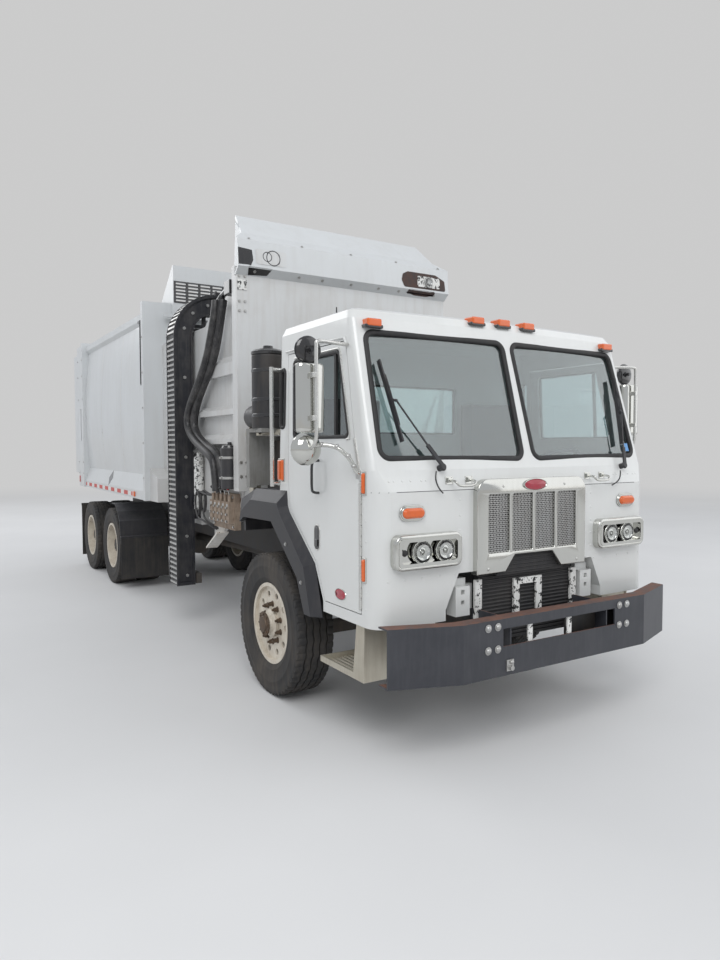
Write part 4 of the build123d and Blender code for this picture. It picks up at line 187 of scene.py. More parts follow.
# Materials
def coated(name, color, dirt, roughness=0.4, metallic=0.0, coat=0.0, amount=0.25, scale=3.0, grain=90.0, height=0.15,
           low=None, chips=None, top=None):
    """Painted or bare surface with soft stains, fine grain and road dust towards the bottom.
    chips is (colour, share, scale) of broken paint, top is (colour, amount) of what lies on faces that look up."""
    tree, shader = new_material(name)
    vector = coords(tree)
    stains = ramp(tree, noise(tree, vector, scale, 8.0, 0.6), (0.42, 0.0), (0.72, 1.0))
    streaks = ramp(tree, noise(tree, coords(tree, (9.0, 9.0, 0.9)), scale, 5.0), (0.45, 0.0), (0.75, 1.0))
    both = mix(tree, 0.45, stains, streaks)
    if low is not None:
        fall = rise(tree, split(tree)["Z"], low[1], low[0])
        both = mix(tree, fall, both, mix(tree, 0.5, both, (1.0, 1.0, 1.0)))
    paint = mix(tree, times(tree, both, amount), color, dirt)
    rough = times(tree, both, 0.25 * amount + 0.05, roughness)
    relief = noise(tree, vector, grain, 3.0)
    if chips is not None:
        under, share, size = chips
        broken = ramp(tree, noise(tree, vector, size, 5.0, 0.65), (1 - share - 0.02, 0.0), (1 - share, 1.0))
        paint = mix(tree, broken, paint, under)
        relief = mix(tree, broken, relief, (0.0, 0.0, 0.0))
    if top is not None:
        cover, weight = top
        worn = ramp(tree, noise(tree, vector, 14.0, 8.0, 0.7), (0.35, 0.35), (0.6, 1.0))
        upward = ramp(tree, split(tree, "ShaderNodeNewGeometry", "Normal")["Z"], (0.55, 0.0), (0.85, 1.0))
        laid = times(tree, mix(tree, upward, (0.0, 0.0, 0.0), worn), weight)
        paint = mix(tree, laid, paint, cover)
        rough = mix(tree, laid, rough, (0.85, 0.85, 0.85))
    uneven = node(tree, "ShaderNodeBump", Strength=height, Distance=0.002, Height=relief).outputs["Normal"]
    fill(shader, {"Base Color": paint, "Roughness": rough, "Metallic": metallic, "Coat Weight": coat,
                  "Coat Roughness": 0.06, "Normal": uneven})


def clear(name, color, roughness=0.02, ior=1.45):
    """Glass with a faint film."""
    tree, shader = new_material(name)
    paint = mix(tree, noise(tree, coords(tree), 4.0, 6.0), color, tuple(0.93 * c for c in color))
    fill(shader, {"Base Color": paint, "Transmission Weight": 1.0, "Roughness": roughness, "IOR": ior})


def banded(name, first, second, pitch, share):
    """Two colours that take turns along the truck, with worn edges."""
    tree, shader = new_material(name)
    wave = node(tree, "ShaderNodeMath", split(tree)["Y"], operation="PINGPONG")
    wave.inputs[1].default_value = pitch / 2
    edge = share * pitch / 2
    paint = mix(tree, rise(tree, wave.outputs[0], edge - 0.001, edge + 0.001), first, second)
    worn = noise(tree, coords(tree), 30.0, 6.0)
    paint = mix(tree, times(tree, worn, 0.35), paint, (0.3, 0.27, 0.24))
    fill(shader, {"Base Color": paint, "Roughness": times(tree, worn, 0.2, 0.4)})


RUST, DUST = (0.15, 0.065, 0.035), (0.20, 0.16, 0.12)
coated("white_paint", (0.68, 0.69, 0.68), (0.42, 0.38, 0.32), 0.28, coat=0.6, amount=0.10, height=0.02,
       low=(0.9, 1.6))
coated("body_white", (0.62, 0.64, 0.65), (0.38, 0.36, 0.32), 0.34, coat=0.4, amount=0.22, scale=1.6, height=0.03,
       low=(1.2, 2.2))
coated("hopper_white", (0.61, 0.62, 0.62), (0.30, 0.23, 0.17), 0.38, coat=0.3, amount=0.34, scale=2.2, height=0.05,
       low=(1.3, 2.4))
coated("worn_white", (0.74, 0.74, 0.72), DUST, 0.5, amount=0.3, scale=8.0, chips=((0.02, 0.02, 0.02), 0.44, 28.0))
coated("dusty_white", (0.74, 0.72, 0.68), (0.32, 0.24, 0.17), 0.5, amount=0.55, scale=6.0, chips=(RUST, 0.36, 12.0))
coated("valve_metal", (0.34, 0.27, 0.21), (0.10, 0.055, 0.035), 0.6, metallic=0.2, amount=0.8, scale=14.0,
       height=0.3)
coated("charcoal_steel", (0.034, 0.036, 0.044), (0.12, 0.12, 0.13), 0.38, amount=0.30, scale=5.0, grain=150.0,
       height=0.08, top=((0.17, 0.085, 0.06), 1.0))
# black_frame also colours the plate of painted shade behind the bumper's slot
coated("black_frame", (0.02, 0.02, 0.022), (0.10, 0.08, 0.06), 0.5, amount=0.5)
coated("black_plastic", (0.022, 0.022, 0.026), (0.11, 0.10, 0.09), 0.42, amount=0.35, grain=420.0,
       top=((0.17, 0.17, 0.18), 0.35))
coated("gloss_black", (0.012, 0.012, 0.014), (0.08, 0.07, 0.06), 0.16, coat=0.7, amount=0.3, height=0.03)
coated("rubber", (0.012, 0.012, 0.013), (0.09, 0.085, 0.08), 0.55, amount=0.35, grain=300.0)
coated("hose", (0.016, 0.016, 0.018), (0.20, 0.19, 0.18), 0.38, amount=0.5, scale=12.0, grain=60.0, height=0.5)
coated("chrome", (0.60, 0.60, 0.57), (0.34, 0.33, 0.29), 0.07, metallic=1.0, amount=0.15, height=0.01)
coated("mirror_glass", (0.80, 0.84, 0.86), (0.6, 0.6, 0.6), 0.03, metallic=1.0, amount=0.08, height=0.0)
coated("bright_tube", (0.66, 0.66, 0.64), (0.38, 0.35, 0.30), 0.24, metallic=0.9, amount=0.4, scale=12.0)
clear("glass", (0.60, 0.72, 0.72), ior=2.1)
clear("lens", (0.94, 0.96, 0.97), 0.01)
coated("lamp", (0.70, 0.115, 0.008), (0.42, 0.05, 0.006), 0.14, coat=0.9, scale=20.0, grain=260.0, height=0.12)
coated("red_lamp", (0.45, 0.01, 0.012), (0.25, 0.01, 0.01), 0.14, coat=0.9, scale=20.0, grain=260.0, height=0.12)
coated("enamel", (0.36, 0.012, 0.035), (0.18, 0.01, 0.02), 0.16, coat=0.8, amount=0.3, scale=14.0, height=0.02)
banded("tape", (0.60, 0.05, 0.04), (0.78, 0.78, 0.77), 0.36, 0.55)
coated("tyre", (0.022, 0.022, 0.023), (0.15, 0.125, 0.10), 0.72, amount=0.55, grain=250.0)
coated("cream_wheel", (0.66, 0.61, 0.52), (0.22, 0.14, 0.08), 0.42, amount=0.55, scale=9.0, chips=(RUST, 0.30, 18.0))
coated("flap_rubber", (0.015, 0.015, 0.016), (0.12, 0.10, 0.08), 0.7, amount=0.5)
coated("arm_black", (0.016, 0.017, 0.022), (0.13, 0.12, 0.11), 0.42, amount=0.45, scale=7.0)
coated("steel", (0.52, 0.52, 0.51), (0.25, 0.21, 0.17), 0.32, metallic=0.9, amount=0.4)
coated("iron", (0.05, 0.048, 0.045), (0.17, 0.13, 0.10), 0.65, amount=0.6)
coated("nut", (0.11, 0.085, 0.065), (0.24, 0.14, 0.08), 0.5, metallic=0.6, amount=0.6, scale=30.0)
coated("burnt", (0.040, 0.028, 0.026), (0.13, 0.06, 0.04), 0.6, amount=0.7, scale=14.0, grain=140.0, height=0.4)
coated("rack_grey", (0.24, 0.24, 0.23), (0.10, 0.085, 0.07), 0.55, amount=0.6, scale=6.0)
# painted shade: dark_screen colours a sheet laid over the screen's white face, which lies in shade
coated("dark_screen", (0.055, 0.055, 0.058), (0.14, 0.13, 0.12), 0.5, amount=0.5, scale=8.0)
# trim_grey also paints the shadow under the belt panel's lip
coated("trim_grey", (0.05, 0.05, 0.055), (0.12, 0.12, 0.12), 0.6, grain=300.0)
coated("seat_cloth", (0.04, 0.04, 0.045), (0.10, 0.10, 0.10), 0.9, grain=500.0, height=0.4)
coated("step_alloy", (0.55, 0.52, 0.44), (0.26, 0.20, 0.14), 0.45, metallic=0.6, amount=0.5)
coated("blue_paper", (0.10, 0.30, 0.62), (0.30, 0.45, 0.62), 0.5, amount=0.4, scale=30.0)
coated("paper", (0.80, 0.80, 0.78), (0.65, 0.64, 0.60), 0.7, amount=0.3)
coated("cooler_black", (0.014, 0.014, 0.016), (0.09, 0.08, 0.07), 0.5, amount=0.4, grain=200.0)

# The CAD pieces take the finish of their slots, or one of their own; a finish has a slot of its name, or one of these
NODE_FINISH = {"body_box": "body_white", "tailgate": "body_white", "hopper": "hopper_white", "canopy": "body_white",
               "hopper_screen": "body_white", "grab_bars": "bright_tube", "cab_supports": "white_paint",
               "rear_rack": "rack_grey"}

for entry in frame["record"]["subparts"]:
    shown = NODES[entry["node"]].data.materials
    shown.clear()
    shown.append(MATERIALS[NODE_FINISH.get(entry["node"], entry["material_slot"])])


# Places
def station(y):
    return FRONT + y


def at(x, y, z):
    """Point by its station."""
    return Vector((x, station(y), z))


def hit(name, origin, direction):
    """Point and outward normal where a ray meets a CAD node."""
    if name not in TREES:
        mesh = NODES[name].data
        TREES[name] = BVHTree.FromPolygons([v.co for v in mesh.vertices], [p.vertices for p in mesh.polygons])
    return TREES[name].ray_cast(Vector(origin), Vector(direction))[:2]


def ahead(name, x, z):
    return hit(name, at(x, -1.0, z), ALONG)


def behind(x, z):
    return hit("tailgate", (x, 9.0, z), -ALONG)


def beside(name, hand, y, z):
    return hit(name, at(hand * 3.0, y, z), (-hand, 0, 0))


def outermost(spots, reach):
    return [spot for spot in spots if spot[0] is not None and abs(spot[0].x) > reach]


def on_front(x, z, height=0.0):
    """Point on the cab's raked front, above the belt."""
    y = station(0.286) + 0.2864 * (z - 1.715) + 0.058 * (x / 1.195) ** 2
    return Vector((x, y - 0.96 * height, z + 0.27 * height))


def on_side(hand):
    """Points on the cab's side by their station and Z."""
    return lambda y, z, height=0.0: at(hand * (1.205 - 0.0251 * max(0.0, z - 1.715) + height), y, z)


def aim(origin, axis, up=UP):
    """Matrix at origin with its Z along axis and its Y nearest to up."""
    z = Vector(axis).normalized()
    up = Vector(up) if abs(z.dot(Vector(up))) < 0.99 else ALONG
    x = up.cross(z).normalized()
    return Matrix.Translation(Vector(origin)) @ Matrix((x, z.cross(x), z)).transposed().to_4x4()


# Outlines
def rect(u_low, u_high, v_low, v_high):
    return ((u_low, v_low), (u_high, v_low), (u_high, v_high), (u_low, v_high))


def rounded(points, radius, steps=5):
    """Closed outline with rounded corners, as 2-D vectors."""
    made = []
    for i, point in enumerate(points):
        before, here, after = Vector(points[i - 1]), Vector(point), Vector(points[(i + 1) % len(points)])
        u, w = (before - here).normalized(), (after - here).normalized()
        half = u.angle(w) / 2
        centre = here + (u + w).normalized() * radius / math.sin(half)
        start, end = ((here + v * radius / math.tan(half) - centre).normalized() for v in (u, w))
        made += [centre + radius * start.slerp(end, k / steps) for k in range(steps + 1)]
    return made


def oval(width, height, steps=12):
    """Outline of a slot: two half circles joined by straight runs."""
    reach = (width - height) / 2
    right = [(reach + height / 2 * math.cos(a), height / 2 * math.sin(a))
             for a in (-math.pi / 2 + math.pi * k / steps for k in range(steps + 1))]
    return right + [(-u, -v) for u, v in right]


def circle(count, radius=1.0, start=0.0):
    """Points round a circle."""
    angles = (math.tau * (i + start) / count for i in range(count))
    return [(radius * math.cos(a), radius * math.sin(a)) for a in angles]


# Mesh helpers
def face(bm, points):
    bm.faces.new([bm.verts.new(point) for point in points])


def skin(bm, rings, round_each=True):
    """Faces between one ring of vertices and the next."""
    for low, high in zip(rings, rings[1:]):
        for i in range(len(low) if round_each else len(low) - 1):
            j = (i + 1) % len(low)
            bm.faces.new((low[i], low[j], high[j], high[i]))


def cube(bm, low, high, turn=None):
    low, high = Vector(low), Vector(high)
    matrix = Matrix.Translation((low + high) / 2) @ (turn or Matrix.Identity(4))
    bmesh.ops.create_cube(bm, size=1.0, matrix=matrix @ Matrix.Diagonal((*(high - low), 1.0)))


def box(bm, x, y, z, turn=None):
    """Block between two X, two stations and two Z, in any order."""
    cube(bm, at(min(x), min(y), min(z)), at(max(x), max(y), max(z)), turn)


def block(bm, centre, low, high):
    """Block between two offsets from a point."""
    cube(bm, centre + Vector(low), centre + Vector(high))


def bar(bm, start, end, radius, tip=None, sides=24):
    start, end = Vector(start), Vector(end)
    bmesh.ops.create_cone(bm, cap_ends=True, segments=sides, radius1=radius, radius2=radius if tip is None else tip,
                          depth=(end - start).length, matrix=aim((start + end) / 2, end - start))


def flat_bar(bm, start, end, width, depth, towards):
    """Rectangular bar between two points, its depth along towards."""
    matrix = aim((start + end) / 2, end - start, towards) @ Matrix.Diagonal((width, depth, (end - start).length, 1.0))
    bmesh.ops.create_cube(bm, size=1.0, matrix=matrix)


def ball(bm, centre, radius, axis=UP, flat=1.0, u=16, v=8):
    bmesh.ops.create_uvsphere(bm, u_segments=u, v_segments=v, radius=radius,
                              matrix=aim(centre, axis) @ Matrix.Diagonal((1.0, 1.0, flat, 1.0)))


def stud(bm, centre, radius, axis, flat=0.5):
    ball(bm, centre, radius, axis, flat, 8, 4)


def lathe(bm, profile, matrix, sides=48, stretch=1.0):
    """Turned shape from (radius, height) points about a matrix's Z, stretched along its X."""
    skin(bm, [[bm.verts.new(matrix @ Vector((stretch * radius * u, radius * v, height))) for u, v in circle(sides)]
              for radius, height in profile])


def plate(bm, outline, matrix, depth):
    """Prism of an outline drawn in a matrix's XY, raised along its Z."""
    low, high = ([bm.verts.new(matrix @ Vector((u, v, w))) for u, v in outline] for w in (0.0, depth))
    bm.faces.new(low[::-1])
    bm.faces.new(high)
    skin(bm, (low, high))


def bead(bm, loop, place, width, height, sides=6, closed=True, sink=0.004):
    """Half-round strip along a loop, on the surface that place(u, v, height) gives."""
    loop = [Vector(point) for point in loop]
    rings = []
    for i, point in enumerate(loop):
        before = loop[i - 1] if closed or i else point
        after = loop[(i + 1) % len(loop)] if closed or i < len(loop) - 1 else point
        along = (after - before).normalized()
        across = Vector((along.y, -along.x)) * width / 2
        turns = [math.pi * k / sides for k in range(sides + 1)]
        spots = [(point + across * math.cos(a), math.sin(a) * height) for a in turns]
        spots += [(point - across, -sink), (point + across, -sink)]
        rings.append([bm.verts.new(place(spot.x, spot.y, lift)) for spot, lift in spots])
    skin(bm, rings + rings[:1] if closed else rings)
    if not closed:
        bm.faces.new(rings[0])
        bm.faces.new(rings[-1][::-1])


def hexes(bm, spots, radius, height):
    """Hexagonal heads on washers."""
    for point, normal in spots:
        if point is not None:
            bar(bm, point, point + normal * height * 0.25, radius * 1.35, sides=20)
            bar(bm, point + normal * height * 0.25, point + normal * height, radius, sides=6)


def flat_curve(name, outlines, thickness, bevel, y):
    """Mesh of a plate with holes, drawn in X and Z and facing the truck's front."""
    data = bpy.data.curves.new(name, "CURVE")
    data.dimensions = "2D"
    data.fill_mode = "BOTH"
    for outline in outlines:
        spline = data.splines.new("POLY")
        spline.points.add(len(outline) - 1)
        spline.use_cyclic_u = True
        for made, (u, v) in zip(spline.points, outline):
            made.co = (u, v, 0.0, 1.0)
    data.extrude = thickness / 2
    data.bevel_depth = bevel
    data.bevel_resolution = 2
    data.offset = -bevel
    holder = bpy.data.objects.new(name + "_line", data)
    bpy.context.scene.collection.objects.link(holder)
    bpy.context.view_layer.update()
    mesh = bpy.data.meshes.new_from_object(holder.evaluated_get(bpy.context.evaluated_depsgraph_get()))
    bpy.data.objects.remove(holder)
    mesh.transform(Matrix.Translation(at(0.0, y, 0.0)) @ Matrix.Rotation(math.radians(90), 4, "X"))
    bm = bmesh.new()
    bm.from_mesh(mesh)
    bpy.data.meshes.remove(mesh)
    return bm


def finish(obj, body, material):
    bpy.context.scene.collection.objects.link(obj)
    obj.data.materials.append(MATERIALS[material])
    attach(obj, body)
    return obj


def piece(name, bm, body, material, bevel=0.0, slot=None, segments=2, smooth=True, instead=None):
    """Object from a mesh in the making, riding on a body, in place of a CAD node if one is given."""
    bmesh.ops.remove_doubles(bm, verts=bm.verts, dist=1e-6)
    bmesh.ops.recalc_face_normals(bm, faces=bm.faces)
    mesh = bpy.data.meshes.new(name)
    bm.to_mesh(mesh)
    bm.free()
    obj = bpy.data.objects.new(name, mesh)
    if smooth:
        mesh.shade_smooth()
        mesh.set_sharp_from_angle(angle=math.radians(38))
    if bevel:
        made = obj.modifiers.new("edge", "BEVEL")
        made.width = bevel
        made.segments = segments
        made.limit_method = "ANGLE"
        made.harden_normals = True
    finish(obj, body, material)
    if instead:
        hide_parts(instead)


def curve(name, points, radius, body, material):
    """Round bar or hose along a smooth line near its points."""
    data = bpy.data.curves.new(name, "CURVE")
    data.dimensions = "3D"
    spline = data.splines.new("NURBS")
    spline.points.add(len(points) - 1)
    for made, point in zip(spline.points, points):
        made.co = (*point, 1.0)
    spline.order_u = 3
    spline.use_endpoint_u = True
    data.bevel_depth = radius
    data.bevel_resolution = 4
    data.resolution_u = 10
    data.use_fill_caps = True
    return finish(bpy.data.objects.new(name, data), body, material)


def build(name, body, material, *shapes, **looks):
    """Piece from shapes, each a mesh helper with its values."""
    bm = bmesh.new()
    for shape, *values in shapes:
        shape(bm, *values)
    piece(name, bm, body, material, **looks)


# Window seals, by X or station and Z
SCREEN = ((0.050, 1.775), (1.128, 1.785), (1.100, 2.548), (0.038, 2.548))
DOOR_WINDOW = ((0.600, 1.915), (0.735, 2.440), (1.352, 2.440), (1.335, 1.915))
QUARTER = ((1.482, 1.990), (1.482, 2.406), (1.555, 2.390), (1.555, 1.990))
BACK_WINDOW = rect(-0.42, 0.42, 1.95, 2.33)
WINDOW_TRIM = ((0.62, 1.898), (0.582, 1.905), (0.583, 1.93), (0.722, 2.452), (0.74, 2.46), (1.34, 2.46))


def seals():
    bm = bmesh.new()
    for _, hand in SIDES:
        bead(bm, rounded([(hand * x, z) for x, z in SCREEN], 0.06, 8), on_front, 0.034, 0.011, sink=0.02)
        bead(bm, rounded(QUARTER, 0.03), on_side(hand), 0.026, 0.008, sink=0.02)
    cab_back = NODES["cab_shell"].bound_box[6][1]
    bead(bm, rounded(BACK_WINDOW, 0.03), lambda u, v, h: Vector((u, cab_back + h, v)), 0.03, 0.009, sink=0.02)
    piece("window_seals", bm, "chassis", "rubber")
    for side, hand in SIDES:
        place = on_side(hand)
        bm = bmesh.new()
        bead(bm, rounded(DOOR_WINDOW, 0.03), place, 0.024, 0.007, sink=0.02)
        # divider of the quarter light
        flat_bar(bm, place(0.762, 1.915, -0.006), place(0.779, 2.44, -0.006), 0.022, 0.016, (hand, 0, 0))
        piece(f"door_window_seal_{side}", bm, f"door_{side}", "rubber")
        build(f"door_window_trim_{side}", f"door_{side}", "bright_tube",
              (bead, WINDOW_TRIM, place, 0.012, 0.008, 4, False))


# Wipers: pivot, joint and the blade's two ends on the screen
WIPERS = (
    ((-0.735, 1.722), (-1.000, 2.106), (-1.054, 2.365), (-0.983, 1.875)),
    ((0.939, 1.706), (1.010, 2.080), (1.066, 2.355), (0.984, 1.862)),
)
# Parts of a blade: start and end as shares of its length, lift, width and depth
BLADE = ((0.0, 1.0, 0.0, 0.011, 0.022), (0.0, 1.0, -0.014, 0.005, 0.022), (0.1936, 0.3136, 0.012, 0.016, 0.010),
         (0.44, 0.56, 0.012, 0.016, 0.010), (0.6864, 0.8064, 0.012, 0.016, 0.010), (0.24, 0.76, 0.02, 0.008, 0.008))


def wipers():
    bm = bmesh.new()
    for pivot, joint, top, bottom in WIPERS:
        base, head, elbow = on_front(*pivot), on_front(*pivot, 0.035), on_front(*joint, 0.062)
        normal = (on_front(*pivot, 1.0) - base).normalized()
        middle = head.lerp(elbow, 0.34)
        bar(bm, base - normal * 0.01, head, 0.020)
        bar(bm, head, head + normal * 0.012, 0.026, 0.018)
        flat_bar(bm, head + normal * 0.006, middle, 0.026, 0.014, normal)
        flat_bar(bm, middle, elbow, 0.011, 0.007, normal)
        low, high = on_front(*bottom, 0.03), on_front(*top, 0.03)
        for start, end, lift, width, depth in BLADE:
            ends = (low.lerp(high, share) + normal * lift for share in (start, end))
            flat_bar(bm, *ends, width, depth, normal)
        bar(bm, low.lerp(high, 0.5) + normal * 0.01, elbow + normal * 0.006, 0.009, sides=12)
    piece("wipers", bm, "chassis", "black_plastic", bevel=0.002)


# Rivets, seam with its painted shadow, and aerial of the cab
BELT_BOLTS = (1.101, 1.067, 1.009, 0.951, 0.876, 0.842, 0.55, 0.33, 0.22)
FACE_BOLTS_X = (1.119, 0.999, 0.878, 0.747, 0.626)
FACE_BOLTS_Z = (1.528, 1.431, 1.340, 1.250, 1.160)
# SEAM_SHADOW_HALF is half the height of the dark strip of painted shadow under the belt panel's lip
SEAM_Z, SEAM_SHADOW_HALF, SEAM_END = 1.588, 0.0018, 0.425


def cab_trim():
    spots = []
    for _, hand in SIDES:
        spots += [ahead("cab_shell", hand * x, 1.652) for x in BELT_BOLTS]
        spots += [ahead("cab_shell", hand * x, 1.071) for x in FACE_BOLTS_X]
        spots += [ahead("cab_shell", hand * 0.590, z) for z in FACE_BOLTS_Z]
        spots += [beside("cab_shell", hand, y, z) for y in (0.4, 1.52) for z in (0.9, 1.0, 1.3, 1.42)]
    build("cab_rivets", "chassis", "white_paint",
          *((stud, point, 0.0075, normal, 0.45) for point, normal in spots if point is not None))
    # painted shadow: dark strip at the overlap of the belt panel, under its lip, round the corners to the doors
    lines = ([], [])
    for k in range(-50, 51):
        angle = math.radians(1.9 * k)
        way = Vector((math.sin(angle), -math.cos(angle), 0.0))
        for line, z in zip(lines, (SEAM_Z - SEAM_SHADOW_HALF, SEAM_Z + SEAM_SHADOW_HALF)):
            point, _ = hit("cab_shell", at(0.0, 1.25, z) + way * 3.0, -way)
            if point is not None and point.y < station(SEAM_END):
                line.append(point + way * 0.0008)
    low, high = lines
    build("belt_seam_shadow", "chassis", "trim_grey", *((face, quad) for quad in zip(low, low[1:], high[1:], high)))
    foot, _ = hit("cab_shell", at(-0.98, 1.12, 4.0), -UP)
    build("aerial", "chassis", "black_plastic", (bar, foot - UP * 0.01, foot + UP * 0.012, 0.020),
          (bar, foot, foot + UP * 0.085, 0.006, 0.004, 10), bevel=0.001)


# Grille: chrome surround, four mesh panels and a blank oval badge
GRILLE_TOP = rounded(((-0.486, 1.055), (-0.486, 1.650), (0.486, 1.650), (0.486, 1.055)), 0.085, 8)
GRILLE_FOOT = ((0.486, 1.055), (0.250, 1.055), (0.170, 1.160), (-0.170, 1.160), (-0.250, 1.055), (-0.486, 1.055))
GRILLE_STUDS = ((-0.40, 1.085), (0.40, 1.085), (-0.275, 1.603), (0.275, 1.603))
PANEL_MIDDLES = (-0.3045, -0.1015, 0.1015, 0.3045)
PANEL_HALF, PANEL_LOW, PANEL_HIGH = 0.088, 1.183, 1.552
MESH_PITCH, MESH_BAR, MESH_SHORTEST = 0.0250, 0.0075, 0.003


def grille():
    outline = [Vector(p) for p in GRILLE_FOOT] + [p for p in GRILLE_TOP if p.y > 1.2]
    holes = [rounded(rect(x - PANEL_HALF, x + PANEL_HALF, PANEL_LOW, PANEL_HIGH), 0.01, 3) for x in PANEL_MIDDLES]
    bm = flat_curve("grille", [outline, *holes], 0.010, 0.008, 0.257)
    piece("grille_surround", bm, "chassis", "chrome", instead="front_grille")
    # skirt back to the cab's face
    bm = bmesh.new()
    skin(bm, [[bm.verts.new(at(p.x, y, p.y)) for p in outline] for y in (0.262, 0.30)])
    piece("grille_skirt", bm, "chassis", "chrome")
    reach = PANEL_HALF + 0.004
    build("grille_backing", "chassis", "gloss_black",
          *((box, (x - reach, x + reach), (0.266, 0.272), (PANEL_LOW - 0.004, PANEL_HIGH + 0.004))
            for x in PANEL_MIDDLES))
    bm = bmesh.new()
    wide, tall = 2 * PANEL_HALF, PANEL_HIGH - PANEL_LOW
    for middle in PANEL_MIDDLES:
        for lean in (1.0, -1.0):
            for k in range(1, int((wide + tall) / MESH_PITCH) + 1):
                # line through the panel at 45 degrees, clipped to it
                offset = k * MESH_PITCH
                start, end = max(0.0, offset - tall), min(offset, wide)
                if end - start >= MESH_SHORTEST:
                    ends = (at(middle + lean * (u - PANEL_HALF), 0.2615, PANEL_LOW + offset - u) for u in (start, end))
                    flat_bar(bm, *ends, MESH_BAR, 0.003, ALONG)
    piece("grille_mesh", bm, "chassis", "steel", slot="chrome", smooth=False)
    build("grille_bars", "chassis", "chrome",
          *((box, (x - 0.009, x + 0.009), (0.245, 0.256), (PANEL_LOW, PANEL_HIGH)) for x in (-0.203, 0.0, 0.203)),
          *((ball, at(x, 0.2465, z), 0.012, -ALONG, 0.5) for x, z in GRILLE_STUDS), bevel=0.003)
    badge = aim(at(0, 0.246, 1.607), -ALONG)
    build("grille_badge", "chassis", "enamel",
          (lathe, ((0.0, 0.012), (0.030, 0.011), (0.0345, 0.006)), badge, 64, 2.9))
    build("grille_badge_rim", "chassis", "chrome",
          (lathe, ((0.0340, 0.005), (0.0360, 0.012), (0.0385, 0.011), (0.0405, 0.0)), badge, 64, 2.75))


# Radiator: finned core with chipped frames, and the shroud that shows in the grille's notch
CORE_HALF, CORE_Y, FIN_PITCH = 0.423, 0.320, 0.024
FRAME_BARS = ((0.402, 0.458, (0.765, 1.015)), (0.076, 0.126, (0.745, 0.993)))


def fins(half, y, low, count, radius):
    """Rods across the truck, one above another."""
    heights = (low + FIN_PITCH * k for k in range(count))
    return [(bar, at(-half, y, z), at(half, y, z), radius, None, 10) for z in heights]


def radiator():
    build("radiator_core", "chassis", "cooler_black",
          (box, (-CORE_HALF, CORE_HALF), (CORE_Y, CORE_Y + 0.08), (0.600, 1.035)),
          *fins(CORE_HALF - 0.002, CORE_Y, 0.612, 18, 0.0085), instead="radiator")
    build("grille_shroud", "chassis", "cooler_black", (box, (-0.30, 0.30), (0.2785, 0.2845), (1.030, 1.175)),
          *fins(0.298, 0.2785, 1.046, 5, 0.006), slot="black_plastic")
    depth = (CORE_Y - 0.024, CORE_Y - 0.002)
    build("radiator_frames", "chassis", "worn_white",
          *((box, (hand * low, hand * high), depth, z) for _, hand in SIDES for low, high, z in FRAME_BARS),
          (box, (-0.080, 0.080), depth, (0.950, 0.993)), bevel=0.003, instead="radiator_frame")


# Grab handles beside the grille: the X of their ends, and one half from its foot
HANDLES = ((-0.672, -0.520), (0.552, 0.704))
HANDLE_HALF = ((0.0, 0.275, 1.648), (0.0, 0.230, 1.646), (0.005, 0.220, 1.628), (0.03, 0.220, 1.616))


def face_handles():
    bm = bmesh.new()
    foot = rect(-0.030, 0.030, -0.024, 0.024)
    for x in (*HANDLES[0], *HANDLES[1]):
        point, normal = ahead("cab_shell", x, 1.648)
        matrix = aim(point - normal * 0.002, normal)
        plate(bm, foot, matrix, 0.006)
        plate(bm, [(u * 0.55, v * 0.6) for u, v in foot], matrix, 0.020)
        for u, v in foot:
            stud(bm, matrix @ Vector((u * 0.72, v * 0.72, 0.006)), 0.005, normal, 0.6)
    piece("handle_plates", bm, "chassis", "chrome", bevel=0.003)
    for index, (low, high) in enumerate(HANDLES):
        points = [at(low + x, y, z) for x, y, z in HANDLE_HALF] + [at(high - x, y, z) for x, y, z in HANDLE_HALF[::-1]]
        curve(f"face_handle_{index}", points, 0.008, "chassis", "chrome")


# Headlamps: reflectors, bulbs and covers in the chrome housings
LAMP_XS, LAMP_Y, LAMP_Z = (0.746, 0.916), 0.2485, 1.237
LAMP_BOWL = ((0.0655, 0.012), (0.057, 0.005), (0.040, 0.001), (0.020, 0.0005), (0.016, 0.003))
LAMP_RIM = ((0.0725, 0.0), (0.0725, 0.012), (0.070, 0.0155), (0.0665, 0.0155), (0.0655, 0.010))
LAMP_GASKET = ((0.0755, 0.0), (0.0755, 0.003), (0.0720, 0.003))
LAMP_COVER = ((0.0665, 0.013), (0.052, 0.0165), (0.028, 0.0190), (0.0, 0.0200))


def headlamp_lenses():
    glassy, shiny, dark, rims = (bmesh.new() for _ in range(4))
    for _, hand in SIDES:
        for x in LAMP_XS:
            centre = at(hand * x, LAMP_Y, LAMP_Z)
            forward = aim(centre, -ALONG)
            rings = []
            for radius, height in LAMP_BOWL:
                flute = 0.0012 if radius > 0.02 else 0.0
                rings.append([shiny.verts.new(forward @ Vector((u, v, height + flute * (i % 2))))
                              for i, (u, v) in enumerate(circle(48, radius))])
            skin(shiny, rings)
            lathe(shiny, LAMP_RIM, forward)
            lathe(dark, LAMP_GASKET, forward)
            ball(shiny, centre - ALONG * 0.006, 0.014, -ALONG, 0.7)
            lathe(glassy, LAMP_COVER, forward)
        # small bulb beside the round lamps
        ball(dark, at(hand * 1.035, LAMP_Y, LAMP_Z), 0.020, -ALONG, 0.5)
        bead(rims, rounded(rect(hand * 0.628, hand * 1.090, 1.147, 1.327), 0.035, 6),
             lambda u, v, h: at(u, 0.246 - h, v), 0.030, 0.014, sides=8, sink=0.045)
    piece("headlamp_reflectors", shiny, "chassis", "chrome")
    piece("headlamp_glass", glassy, "chassis", "lens")
    piece("headlamp_gaskets", dark, "chassis", "rubber")
    piece("headlamp_rims", rims, "chassis", "chrome")


